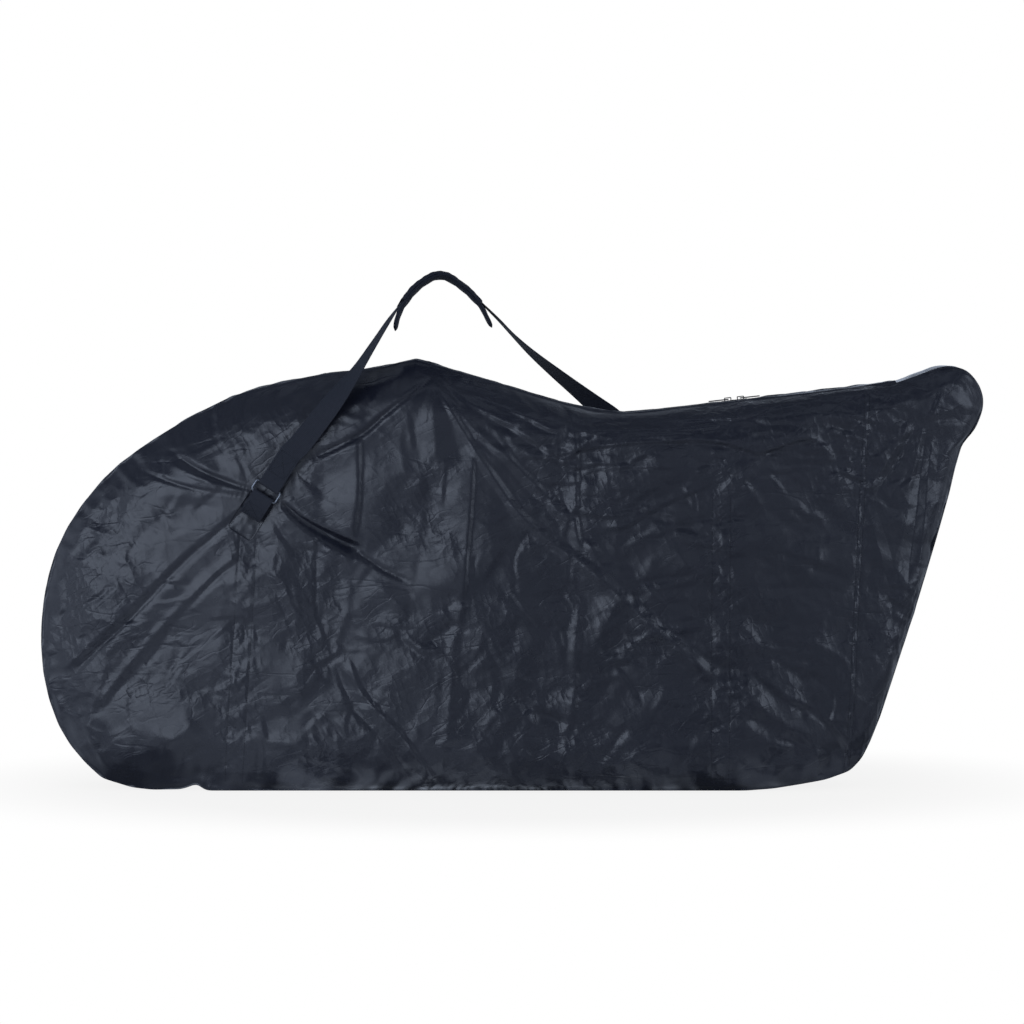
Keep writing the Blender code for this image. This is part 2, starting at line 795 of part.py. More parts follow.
def anchor(side):
    """Middle of the ring bar in the tab, the direction to the strap, and its width direction."""
    shares, lean = (NEAR_ANCHOR_SHARES, NEAR_LEAN) if side < 0 else (FAR_ANCHOR_SHARES, FAR_LEAN)
    way = Vector((math.sin(lean), 0, math.cos(lean)))
    width = Vector((way.z, 0, -way.x))
    return place(shares, side * bar_depth()), way, width


def bar_depth():
    """Distance of the ring's bars from the middle of the bag: the strap's loop clears the side."""
    return HALF_DEPTH + GAP + loop_radius(RING_PLAY) + STRAP_THICKNESS / 2


def loop_radius(play):
    """Radius of the middle of the webbing round a ring bar."""
    return RING_WIRE / 2 + GAP + play + STRAP_THICKNESS / 2


def half_loop(centre, way, out, radius):
    """Points round a bar, from its side nearest the bag, past its front, to its outer side."""
    steps = 8
    points = []
    for step in range(steps + 1):
        angle = math.pi * step / steps
        points.append(
            centre + way * (radius * math.sin(angle)) - out * (radius * math.cos(angle))
        )
    return points


def tabs(parts, finish):
    """Webbing tab, folded over the ring's lower bar, its two layers sewn to the patch."""
    radius = loop_radius(0)
    for side, name in ((-1, "near"), (1, "far")):
        centre, way, width = anchor(side)
        out = ACROSS * side
        on_patch = HALF_DEPTH + GAP + PATCH_THICKNESS + GAP + STRAP_THICKNESS / 2
        inner = centre - out * (bar_depth() - on_patch)
        sewn = inner + out * (STRAP_THICKNESS + LAYER_GAP)
        points = [inner - way * TAB_LENGTH, inner - way * LOOP_CLOSING]
        points += half_loop(centre, way, out, radius)
        points += [sewn - way * LOOP_CLOSING, sewn - way * TAB_LENGTH]
        path = [(point, width) for point in points]
        ribbon(f"strap_tab_{name}", path, STRAP_WIDTH, STRAP_THICKNESS, parts, finish)


def patches(parts, finish):
    """Reinforcement under the end of each tab, flat on the side panel."""
    for side, name in ((-1, "near"), (1, "far")):
        centre, way, _ = anchor(side)
        bm = plate(
            [rounded_rectangle(PATCH_WIDTH, PATCH_LENGTH, PATCH_CORNER)], PATCH_THICKNESS
        )
        upright = Matrix.Rotation(math.pi / 2, 4, "X")
        middle = centre - way * (PATCH_LENGTH / 2 + STRAP_THICKNESS)
        middle.y = side * (HALF_DEPTH + GAP + PATCH_THICKNESS / 2)
        lean = NEAR_LEAN if side < 0 else FAR_LEAN
        turn = Matrix.Rotation(lean, 4, "Y")
        bmesh.ops.transform(
            bm, verts=bm.verts, matrix=Matrix.Translation(middle) @ turn @ upright
        )
        add_mesh(f"patch_{name}", bm, parts, finish)


def rings(parts, finish):
    """Steel rings: a wire bent to a rectangle, one bar in the tab and one in the strap."""
    for side, name in ((-1, "near"), (1, "far")):
        centre, way, width = anchor(side)
        curve = bpy.data.curves.new(f"ring_{name}", "CURVE")
        curve.dimensions = "3D"
        curve.bevel_depth = RING_WIRE / 2
        curve.bevel_resolution = 2
        outline = rounded_rectangle(
            RING_INNER_WIDTH + RING_WIRE, RING_BAR_SPACING, RING_CORNER
        )
        spline = curve.splines.new("POLY")
        spline.points.add(len(outline) - 1)
        spline.use_cyclic_u = True
        for point, (across, up) in zip(spline.points, outline):
            spot = width * across + way * (up + RING_BAR_SPACING / 2)
            point.co = (*spot, 1)
        made = bpy.data.objects.new(curve.name, curve)
        made.location = centre
        curve.materials.append(finish)
        parts.objects.link(made)


def smooth_route(keys):
    """Smooth line through key points and turns, as (point, turn), without the last key."""
    ways = []
    for i in range(len(keys)):
        before, after = keys[max(i - 1, 0)][0], keys[min(i + 1, len(keys) - 1)][0]
        ways.append((after - before).normalized())
    ways[0] = (keys[1][0] - keys[0][0]).normalized()
    line = []
    for i in range(len(keys) - 1):
        (one, roll), (two, next_roll) = keys[i], keys[i + 1]
        reach = (two - one).length / 3
        curve = interpolate_bezier(
            one, one + ways[i] * reach, two - ways[i + 1] * reach, two, ROUTE_STEPS + 1
        )
        for step in range(ROUTE_STEPS):
            share = step / ROUTE_STEPS
            line.append((curve[step], roll + (next_roll - roll) * share))
    return line


def free_route():
    """Strap between the ends of its two legs, as (point, quarter turns of its face)."""
    keys = []
    for x_share, z_share, y_share, roll in STRAP_ROUTE_SHARES:
        keys.append((place((x_share, z_share), y_share * BAG_DEPTH), roll))
    return keys


def width_direction(way, roll):
    """Direction across the webbing, for its path and the quarter turns of its outer face."""
    level = UP.cross(way).normalized()
    upward = way.cross(level)
    if upward.z < 0:
        upward = -upward
    turn = roll * math.pi / 2
    face = upward * math.cos(turn) + level * math.sin(turn)
    return way.cross(face).normalized()


def strap_end(side, tail):
    """Webbing from its end, back to the ring's bar and round it, to where its layers meet.

    Also gives the width direction, the middle of the main layer at the bar, and its direction.
    """
    tab_bar, way, width = anchor(side)
    centre = tab_bar + way * RING_BAR_SPACING
    out = ACROSS * side
    radius = loop_radius(RING_PLAY)
    apart = STRAP_THICKNESS + LAYER_GAP
    back = centre - out * (apart / 2)
    main = centre + out * (apart / 2)
    points = [back + way * tail, back + way * LOOP_CLOSING]
    points += half_loop(centre + way * RING_SLACK, -way, out, radius)
    points += [main + way * LOOP_CLOSING]
    return points, width, main, way


def strap_path():
    """The whole strap from its near end to its far end, as (point, width direction)."""
    near_points, near_width, near_main, near_way = strap_end(-1, STRAP_SEWN_END)
    far_points, far_width, far_main, far_way = strap_end(1, STRAP_FREE_TAIL)
    keys = [(near_main + near_way * STRAP_SEWN_END, -1.0)]
    keys += free_route()
    keys.append((far_main + far_way * STRAP_FREE_TAIL, 1.0))
    line = smooth_route(keys)
    path = [(point, -near_width) for point in near_points]
    for i, (point, roll) in enumerate(line):
        before = line[i - 1][0] if i else near_points[-1]
        after = line[i + 1][0] if i + 1 < len(line) else keys[-1][0]
        path.append((point, width_direction((after - before).normalized(), roll)))
    path += [(keys[-1][0], far_width)]
    path += [(point, far_width) for point in reversed(far_points)]
    sides = [path[0][1]]
    for _, side in path[1:]:
        sides.append(side if side.dot(sides[-1]) > 0 else -side)
    return [(point, side) for (point, _), side in zip(path, sides)]


def adjuster(parts, cutters, finish):
    """Slide adjuster on the strap's far leg, round its two layers."""
    _, width, main, way = strap_end(1, STRAP_FREE_TAIL)
    stack = 2 * STRAP_THICKNESS + LAYER_GAP
    out = ACROSS
    centre = main + way * ADJUSTER_PLACE - out * (STRAP_THICKNESS + LAYER_GAP) / 2
    axes = Matrix((way, width, out)).transposed().to_4x4()
    clear = stack / 2 + GAP
    rail_place = STRAP_WIDTH / 2 + GAP + ADJUSTER_RAIL / 2
    height = 2 * (clear + ADJUSTER_BAR)
    rails = [
        box((ADJUSTER_LENGTH, ADJUSTER_RAIL, height), (0, turn * rail_place, 0))
        for turn in (-1, 1)
    ]
    span = 2 * rail_place
    bars = []
    for along_share, turn in ((-0.5, 1), (0, -1), (0.5, 1)):
        spot = along_share * (ADJUSTER_LENGTH - ADJUSTER_RAIL)
        level = turn * (clear + ADJUSTER_BAR / 2)
        bars.append(box((ADJUSTER_RAIL, span, ADJUSTER_BAR), (spot, 0, level)))
    body = add_mesh("adjuster", rails[0], parts, finish)
    body.matrix_world = Matrix.Translation(centre) @ axes
    unite(body, [rails[1]] + bars, cutters)


def offset_path(path, distance):
    """The path moved out of the webbing's face, upwards where it runs level, mitred at bends."""
    moved = []
    for i, (point, side) in enumerate(path):
        before = (point - path[i - 1][0]).normalized() if i else Vector()
        after = (path[i + 1][0] - point).normalized() if i + 1 < len(path) else Vector()
        way = (before + after).normalized()
        mitre = (before + after).length / 2 if before.length and after.length else 1.0
        face = side.cross(way).normalized()
        if face.z < 0:
            face = -face
        moved.append((point + face * (distance / mitre), side))
    return moved


def strap_and_pad(parts, webbing, cloth):
    path = strap_path()
    ribbon("shoulder_strap", path, STRAP_WIDTH, STRAP_THICKNESS, parts, webbing)
    first, last = ((share - 0.5) * BAG_LENGTH for share in PAD_SHARES)
    arch = [item for item in path if first <= item[0].x <= last and item[0].z > BAG_HEIGHT]
    under = STRAP_THICKNESS / 2 + PAD_CLEARANCE + PAD_THICKNESS / 2
    ribbon("shoulder_pad", offset_path(arch, -under), PAD_WIDTH, PAD_THICKNESS, parts, cloth)
    over = STRAP_THICKNESS / 2 + PAD_CLEARANCE + PAD_COVER_THICKNESS / 2
    ribbon(
        "pad_cover", offset_path(arch, over)[1:-1], PAD_WIDTH, PAD_COVER_THICKNESS, parts, cloth
    )


def build():
    clear_scene()
    parts = new_collection("bike_travel_bag")
    cutters = new_collection("cutters")
    nylon = material("coated_nylon", (0.020, 0.022, 0.032), 0.30)
    base_cloth = material("base_cloth", (0.012, 0.013, 0.018), 0.55)
    lining = material("lining", (0.030, 0.030, 0.034), 0.80)
    webbing = material("webbing", (0.014, 0.015, 0.021), 0.75)
    pad_cloth = material("pad_cloth", (0.013, 0.014, 0.019), 0.85)
    foam = material("foam", (0.045, 0.045, 0.048), 0.90)
    plastic = material("black_plastic", (0.010, 0.010, 0.012), 0.40)
    zip_metal = material("zip_metal", (0.020, 0.020, 0.024), 0.35, 0.5)
    zip_tape = material("zip_tape", (0.012, 0.013, 0.016), 0.85)
    steel = material("steel", (0.62, 0.62, 0.60), 0.25, 1.0)
    stations, ranges = outline_stations()
    side_panels(stations, parts, nylon)
    gussets(stations, ranges, parts, nylon, base_cloth)
    bindings(stations, parts, lining)
    load_tapes(stations, parts, webbing)
    base_pad(parts, foam)
    wheel_pocket(parts, lining)
    zip_chain(stations, ranges, parts, zip_tape, plastic)
    sliders(stations, ranges, parts, cutters, zip_metal)
    tabs(parts, webbing)
    patches(parts, base_cloth)
    rings(parts, steel)
    adjuster(parts, cutters, plastic)
    strap_and_pad(parts, webbing, pad_cloth)


build()
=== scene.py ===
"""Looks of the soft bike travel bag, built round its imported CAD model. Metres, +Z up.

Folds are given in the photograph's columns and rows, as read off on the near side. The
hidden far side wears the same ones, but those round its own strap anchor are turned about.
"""

import math

import bmesh
import bpy
import numpy as np
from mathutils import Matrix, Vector
from mathutils.bvhtree import BVHTree
from mathutils.geometry import interpolate_bezier


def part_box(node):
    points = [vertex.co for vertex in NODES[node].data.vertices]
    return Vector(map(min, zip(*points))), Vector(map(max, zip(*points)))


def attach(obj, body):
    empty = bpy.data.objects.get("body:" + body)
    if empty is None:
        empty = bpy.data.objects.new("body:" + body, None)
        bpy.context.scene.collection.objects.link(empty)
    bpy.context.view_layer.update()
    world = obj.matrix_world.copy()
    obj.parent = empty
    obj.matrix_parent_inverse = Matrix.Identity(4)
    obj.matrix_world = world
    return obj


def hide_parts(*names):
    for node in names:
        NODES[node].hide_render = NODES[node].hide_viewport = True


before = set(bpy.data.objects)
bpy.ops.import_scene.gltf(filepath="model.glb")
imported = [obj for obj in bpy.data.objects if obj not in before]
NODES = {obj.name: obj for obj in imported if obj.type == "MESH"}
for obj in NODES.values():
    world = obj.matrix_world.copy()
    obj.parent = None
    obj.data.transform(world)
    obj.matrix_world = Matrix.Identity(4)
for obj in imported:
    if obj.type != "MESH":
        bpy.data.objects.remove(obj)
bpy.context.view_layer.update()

# Photograph and camera: metres per pixel, column over the middle of the bag
PIXEL = 0.0018
MIDDLE_COLUMN = 511.5
PICTURE_PIXELS = 1024
SENSOR = 36.0
EYE_DISTANCE = 5.0
EYE_ELEVATION = math.radians(3.0)
AIM = Vector((0.0, -0.05, 0.5004))
BACK = Vector((0, -math.cos(EYE_ELEVATION), math.sin(EYE_ELEVATION)))
UPWARD = Vector((0, math.sin(EYE_ELEVATION), math.cos(EYE_ELEVATION)))
EYE = AIM + BACK * EYE_DISTANCE

# The bag's own sizes, as in its CAD source. An outline point is its share of length and height,
# the half width there as a share of the depth, and the steps to the next point.
BAG_LENGTH = 1.697
BAG_HEIGHT = 0.774
BAG_DEPTH = 0.240
FRONT_DEPTH = 0.150
WALL = 0.0016
OUTLINE = {
    "rear": (
        (0.175, 0.000, 0.330, 1), (0.166, 0.016, 0.320, 1), (0.150, 0.002, 0.300, 1),
        (0.118, 0.000, 0.285, 1), (0.096, 0.005, 0.275, 1), (0.064, 0.026, 0.260, 3),
        (0.018, 0.150, 0.250, 3), (0.000, 0.337, 0.245, 4), (0.016, 0.553, 0.240, 3),
        (0.064, 0.716, 0.235, 3), (0.125, 0.822, 0.230, 2), (0.198, 0.910, 0.225, 2),
        (0.260, 0.950, 0.225, 1),
    ),
    "zip": (
        (0.302, 0.967, 0.225, 2), (0.365, 0.984, 0.225, 2), (0.398, 1.000, 0.225, 2),
        (0.425, 0.984, 0.220, 2), (0.488, 0.944, 0.215, 2), (0.555, 0.900, 0.210, 2),
        (0.620, 0.8756, 0.210, 1),
    ),
    "nose": (
        (0.907, 0.9465, 0.190, 2), (0.952, 0.983, 0.180, 2), (0.981, 0.977, 0.175, 3),
        (1.000, 0.912, 0.170, 3), (0.991, 0.838, 0.175, 2),
    ),
    "front": (
        (0.977, 0.802, 0.185, 2), (0.964, 0.690, 0.195, 2), (0.939, 0.498, 0.210, 2),
        (0.901, 0.233, 0.230, 2), (0.880, 0.107, 0.250, 2),
    ),
    "base": ((0.859, 0.044, 0.280, 2), (0.806, 0.014, 0.310, 2), (0.748, 0.000, 0.330, 1)),
}
SPINE = ((0.223, 0.419), (0.880, 0.674))
TAPER_START = 0.745
PANEL_SEAM = ((0.875, 1.0), (0.854, 0.0))
REAR_TAPE = ((0.224, 0.60), (0.205, 0.0))
FRONT_TAPE = ((0.719, 0.70), (0.719, 0.0))
TAPE_WIDTH = 0.038
SEWN_LINES = (
    (REAR_TAPE, -0.016), (REAR_TAPE, 0.016), (FRONT_TAPE, -0.016), (FRONT_TAPE, 0.016),
    (PANEL_SEAM, -0.0045), (PANEL_SEAM, 0.0045),
)
BOTH_SIDES = ((-1, "near"), (1, "far"))

# Mesh of the sides; share of the way inward at which the cloth has risen to its flat; and how far
# that flat falls back from the middle of the bag towards its right and its left end
STEP = 0.0037
INWARD_STEPS = 92
FULL_RISE_SHARE = 0.32
BULGE = 0.011
LEFT_BULGE = 0.026

# Folds: points in the photograph; section, as (pixels to the left of travel, millimetres out) or
# as one crest (reach to the right, height, reach to the left); share of the length over which
# each end fades; size at the start and at the end. The last two are left out where usual.
ANCHOR_FOLDS = (
    (((257, 493), (205, 476), (160, 452)),
     ((-26, 0), (-7, 2), (-3, -6), (6, 4), (24, 0)), (0.02, 0.30), (0.35, 1.1)),
    (((252, 497), (189, 488), (131, 469)),
     ((-12, 0), (-3, 1.5), (0, -3), (4, 1.5), (26, 0)), (0.02, 0.3), (0.4, 1.0)),
    (((246, 503), (206, 536), (173, 564), (122, 615), (81, 652), (50, 684)),
     ((-34, 0), (-7, 3), (-1, 4), (1, 2.5), (9, -4.5), (12, 0.5), (19, 2), (36, 0)), (0.03, 0.18),
     (0.45, 1.1)),
    (((242, 556), (217, 575), (184, 608)), ((-13, 0), (-2, 2), (1, -3.5), (7, 0)), (0.2, 0.3), (0.8, 1.0)),
    (((104, 659), (96, 690), (85, 727), (90, 745), (102, 768)), (6, 2.0, 6), (0.1, 0.1), (0.8, 1.1)),
    (((198, 721), (164, 744), (101, 768)), (34, 5, 24), (0.15, 0.2), (0.7, 1.0)),
    (((205, 588), (150, 650), (93, 722)), ((-16, 0), (-9, 2), (0, -3.5), (58, 0)), (0.2, 0.2), (0.7, 1.0)),
    (((122, 466), (117, 500), (111, 534)), (9, -2.6, 7), (0.2, 0.2), (0.8, 1.2)),
    (((58, 570), (80, 560), (108, 530)), ((-5, 0), (0, 1.4), (5, -0.6), (9, 0))),
    (((53, 619), (78, 608), (108, 592)), ((-5, 0), (0, -1.8), (4, 0.8), (9, 0)), (0.1, 0.2)),
    (((128, 507), (152, 497), (183, 496), (216, 504)), (6, 0.9, 7)),
    (((122, 562), (137, 540), (154, 520)), (15, -3.2, 11), (0.2, 0.3)),
    (((108, 570), (130, 567), (155, 567)), (4, -1.0, 5)),
    (((280, 504), (299, 522), (322, 537), (344, 549), (362, 556)),
     ((-22, 0), (-6, 5), (3, -11), (6, -11), (10, 2), (30, 0)), (0.03, 0.16), (0.45, 1.3)),
    (((356, 553), (382, 570), (414, 585)),
     ((-10, 0), (-3, 2), (0, -6), (4, 0), (12, 0.8), (18, 0)), (0.05, 0.25), (1.1, 0.5)),
    (((350, 558), (367, 577), (392, 602), (410, 620)), (17, 4.5, 22), (0.1, 0.2), (0.6, 1.0)),
    (((293, 471), (306, 480), (321, 491)), (5, -2.2, 5), (0.1, 0.2)),
    (((285, 501), (318, 499), (352, 519)), (7, 1.2, 9), (0.1, 0.3), (0.7, 1.2)),
    (((283, 554), (300, 551), (325, 550)), ((-5, 0), (0, -1.8), (6, 0.6), (10, 0))),
    (((272, 516), (283, 536), (301, 556)), ((-7, 0), (0, -3), (5, 1), (12, 0)), (0.05, 0.3), (0.6, 1.1)),
    (((258, 519), (256, 545), (252, 575)), (8, -2, 8), (0.1, 0.3), (0.7, 1.2)),
    (((250, 512), (236, 540), (226, 575)), (9, 2, 9), (0.1, 0.3), (0.5, 1.2)),
    (((258, 487), (243, 460), (238, 425)), (9, 1.6, 8), (0.1, 0.3), (0.5, 1.3)),
    (((264, 568), (282, 596), (296, 634)), ((-16, 0), (-5, -1.5), (6, 3), (16, 0)), (0.2, 0.3), (0.9, 0.8)),
    (((236, 610), (262, 606), (292, 590)), (5, 1.2, 6)),
)
BODY_FOLDS = (
    # from the peak over the saddle
    (((430, 378), (386, 412), (361, 433), (333, 447), (304, 460)),
     ((-20, 0), (-3, 2), (0, -5.5), (2.6, -4.5), (5.5, 2), (24, 0)), (0.02, 0.2), (0.5, 1.15)),
    (((430, 381), (420, 410), (412, 437)), (12, -2, 7), (0.02, 0.3), (0.3, 1.0)),
    (((431, 380), (433, 415), (436, 455), (440, 480)),
     ((-20, 0), (0, 5), (28, -0.5), (34, 0)), (0.02, 0.3), (0.25, 1.0)),
    (((434, 379), (452, 410), (472, 444), (498, 482), (523, 516), (552, 540), (590, 568), (640, 612),
      (700, 664), (760, 700), (800, 718)),
     ((-30, 0), (-12, 1.5), (-4, 7.5), (-1, 7.2), (7, -1.5), (22, 0)), (0.02, 0.3), (0.40, 1.2)),
    (((441, 384), (468, 420), (507, 455), (539, 487), (574, 522), (592, 552)),
     ((-18, 0), (-13, -1), (-4, 3.6), (-1, 3.4), (5, -2.5), (18, 0)), (0.03, 0.25), (0.35, 1.1)),
    (((436, 377), (468, 406), (501, 424), (530, 443), (551, 457)),
     ((-9, 0), (0, -3.2), (4, 1.2), (12, 0)), (0.02, 0.1), (0.5, 1.0)),
    (((446, 384), (490, 396), (532, 406)), ((-6, 0), (0, -2.5), (6, 1), (10, 0)), (0.1, 0.2), (0.6, 1.0)),
    (((372, 386), (368, 400), (367, 418)), (9, -2, 5)),
    (((333, 412), (350, 418), (366, 421)), (5, 1.8, 5)),
    # creases that run down the side
    (((359, 436), (359, 491), (356, 519), (352, 542)),
     ((-38, 0), (-3, 6), (0, 4), (3, -1), (16, 0)), (0.10, 0.15), (0.9, 1.0)),
    (((474, 448), (471, 500), (467, 550), (462, 604)),
     ((-50, 0), (-3, 9), (0, 9), (3, 2), (46, 0)), (0.15, 0.15), (0.7, 1.0)),
    (((464, 590), (453, 652), (451, 694), (443, 751), (438, 786)), (8, 2.4, 7), (0.1, 0.05)),
    (((575, 423), (577, 470), (576, 520), (582, 560)), ((-8, 0), (-1, 2.2), (3, -2), (9, 0)), (0.05, 0.2)),
    (((581, 589), (575, 640), (574, 694), (566, 732), (563, 768)),
     ((-7, 0), (0, 2.0), (6, -0.5), (10, 0)), (0.15, 0.1)),
    (((345, 575), (346, 612), (336, 642), (342, 660)), (6, 1.6, 6), (0.2, 0.1)),
    # left of the middle, low down
    (((340, 658), (357, 700), (392, 738), (426, 787)),
     ((-15, 0), (-9, -3), (9, 5), (13, 0.5), (22, 0)), (0.1, 0.03), (0.7, 1.1)),
    (((298, 673), (311, 671), (344, 653)), ((-5, 0), (0, -2), (4, 1.5), (9, 0)), (0.15, 0.15)),
    (((254, 716), (300, 692), (334, 664)), (6, 1.3, 6), (0.3, 0.1)),
    (((396, 634), (422, 656), (448, 654)), ((-6, 0), (0, -2), (5, 1), (10, 0)), (0.1, 0.2)),
    (((421, 647), (440, 634), (459, 620)), (7, -4.5, 6)),
    (((467, 669), (486, 667), (493, 692), (478, 712)), (6, 1.8, 6)),
    (((503, 692), (539, 713), (572, 727)), (9, -5, 8), (0.2, 0.2), (0.9, 1.1)),
    (((494, 729), (508, 720), (524, 712)), (4, 1.6, 4)),
    (((298, 762), (325, 769), (360, 780)), (8, -3, 6)),
    (((466, 660), (500, 664), (528, 640)), (5, 1.2, 5), (0.2, 0.3)),
    (((246, 742), (300, 744), (342, 750)), (8, 1.5, 10), (0.3, 0.3)),
    # from the knot of folds below the low part of the top edge
    (((552, 457), (575, 452), (617, 445), (660, 442), (713, 442), (745, 450), (763, 453), (800, 441),
      (830, 443)),
     ((-26, 0), (-2, -2.8), (1.5, 3.2), (9, 1.8), (20, 0)), (0.02, 0.1), (0.8, 1.1)),
    (((520, 457), (552, 461), (577, 469), (603, 463)),
     ((-9, 0), (-1.5, -2.2), (1.5, 2.2), (9, 0)), (0.1, 0.1), (0.8, 1)),
    (((552, 457), (563, 440), (576, 421)), ((-27, 0), (-23, 5), (0, -3), (7, 0)), (0.02, 0.03), (0.55, 1.0)),
    (((577, 458), (596, 458), (616, 458)), ((-8, 0), (-5.5, 3), (5, -0.6), (8, 0)), (0.02, 0.06)),
    (((575, 434), (637, 431), (694, 430), (733, 426)),
     ((-10, 0), (-1.5, -1.8), (1.5, 2.0), (8, 0)), (0.05, 0.2)),
    (((592, 438), (637, 439), (694, 435)), ((-6, 0), (-1.5, -1.2), (1.5, 1.4), (6, 0))),
    (((575, 420), (629, 421), (732, 419), (790, 405), (862, 395)),
     ((-12, 0), (-1.5, -2.2), (1.5, 2.6), (9, 0)), (0.05, 0.1)),
    (((608, 427), (650, 424), (700, 424)), ((-5, 0), (-1.5, -1.2), (1.5, 1.4), (5, 0))),
    (((577, 478), (600, 470), (640, 468), (690, 470)),
     ((-7, 0), (-1.5, -1.0), (1.5, 1.2), (7, 0)), (0.1, 0.3)),
    (((470, 396), (520, 416), (548, 430), (563, 432)),
     ((-9, 0), (-1.5, -1.8), (1.5, 2.0), (9, 0)), (0.1, 0.1), (0.6, 1)),
    (((560, 402), (575, 418), (590, 428)),
     ((-9, 0), (-1.5, -2.2), (1.5, 2.4), (9, 0)), (0.1, 0.2), (0.8, 1)),
    # right half
    (((600, 528), (623, 528), (652, 512), (682, 497), (715, 486)),
     ((-10, 0), (-1.5, -1.4), (1.5, 1.6), (9, 0)), (0.15, 0.25)),
    (((648, 512), (662, 517), (671, 524)), (4, 1, 4)),
    (((635, 538), (660, 539), (686, 541)), (4, -1, 5)),
    (((586, 536), (602, 566), (634, 600)), (30, 5, 14), (0.15, 0.1), (0.7, 1.0)),
    (((631, 586), (665, 580), (698, 574)), ((-9, 0), (-6, 2.2), (0, -1.6), (6, 0)), (0.1, 0.1)),
    (((620, 596), (648, 600), (690, 606)), (6, -1.5, 5)),
    (((782, 556), (805, 564), (838, 576)), ((-5, 0), (0, -2.4), (6, 1), (12, 0)), (0.05, 0.3)),
    (((783, 554), (783, 575), (790, 590)), (5, 1.6, 5), (0.1, 0.3)),
    (((757, 592), (809, 588), (862, 597)), (5, -1.5, 5)),
    (((791, 510), (809, 522), (826, 528)), ((-4, 0), (0, -1.8), (6, 1), (12, 0)), (0.1, 0.3)),
    (((766, 548), (790, 522), (832, 480), (850, 462)), (30, 4, 26), (0.2, 0.2), (0.7, 1.0)),
    (((814, 546), (840, 551), (862, 556)), (4, -1.5, 5)),
    (((776, 466), (815, 464), (858, 470)), (4, -1.0, 4)),
    (((615, 656), (640, 642), (656, 631), (681, 629), (725, 619)),
     ((-6, 0), (0, 3), (5, -1), (9, 0)), (0.15, 0.3), (0.8, 1)),
    (((655, 632), (686, 650), (705, 677)), (9, 3.6, 9), (0.1, 0.3), (0.7, 1)),
    (((692, 686), (706, 675), (721, 668)), (4, 1.8, 4)),
    (((717, 703), (733, 693), (750, 683)), ((-5, 0), (0, 2), (5, -1), (8, 0)), (0.1, 0.1)),
    (((743, 664), (761, 682), (786, 702), (818, 717), (841, 744), (848, 765)),
     ((-40, 0), (-26, 6), (0, -5), (5, 1.5), (20, 0)), (0.15, 0.1), (0.6, 1.1)),
    (((778, 640), (818, 646), (843, 659), (855, 673)), ((-4, 0), (0, 1.6), (4, -0.6), (8, 0))),
    (((776, 650), (810, 656), (836, 669)), ((-4, 0), (0, 1.4), (4, -0.6), (8, 0))),
    (((560, 694), (594, 698), (616, 696)), (5, -2.2, 5), (0.1, 0.2)),
    (((605, 720), (624, 733), (643, 744)), (5, 1.6, 5)),
    (((663, 685), (661, 698), (651, 712)), (4, 1.5, 4)),
    (((740, 712), (775, 735), (812, 752), (846, 768)), (10, -3, 10), (0.2, 0.1), (0.8, 1)),
    (((760, 745), (800, 750), (838, 762)), (6, 1.6, 6), (0.3, 0.1)),
    (((692, 752), (704, 728), (720, 706)), (6, 1.8, 6)),
    # front panel and nose
    (((912, 424), (893, 456), (868, 493)), ((-34, -1), (0, 5.5), (9, -2), (22, 0)), (0.1, 0.1), (0.8, 1.0)),
    (((926, 426), (919, 462), (907, 500)), (6, 2.6, 5), (0.1, 0.2), (0.7, 1)),
    (((934, 430), (929, 470), (924, 520), (915, 602)),
     ((-17, 0), (-6, -4), (4, 3), (16, 0)), (0.1, 0.2), (0.6, 1.1)),
    (((880, 560), (892, 590), (896, 640)), (12, -3, 12), (0.3, 0.3)),
    (((868, 512), (884, 560), (886, 590)), (12, 2.5, 10), (0.2, 0.3)),
    (((935, 388), (934, 366)), (5, -2.6, 5), (0.1, 0.1), (0.7, 1)),
    (((934, 390), (912, 382), (884, 380)), ((-5, 0), (0, -3), (4, 1), (8, 0)), (0.05, 0.2), (0.7, 1.1)),
    (((936, 391), (955, 384), (974, 392)), (6, 1.6, 6), (0.1, 0.3), (0.7, 1)),
    (((938, 394), (955, 405), (972, 420)), (8, -1.6, 8), (0.1, 0.3), (0.7, 1)),
)
RANDOM_FOLDS = 300
# Where small creases pull to: the near anchor, the peak, the knot of folds, the lower front
PULLS = ((262, 500), (430, 376), (552, 457), (850, 765))
# Column beyond which many small creases lie level, and all stand higher
RIGHT_OF = 590
# Where the cloth gathers beside a sewn line: the line, reach on each side, slant of its creases
GATHERED = ((REAR_TAPE, 0.024, 0.9), (FRONT_TAPE, 0.020, -0.7), (PANEL_SEAM, 0.013, 0.9))
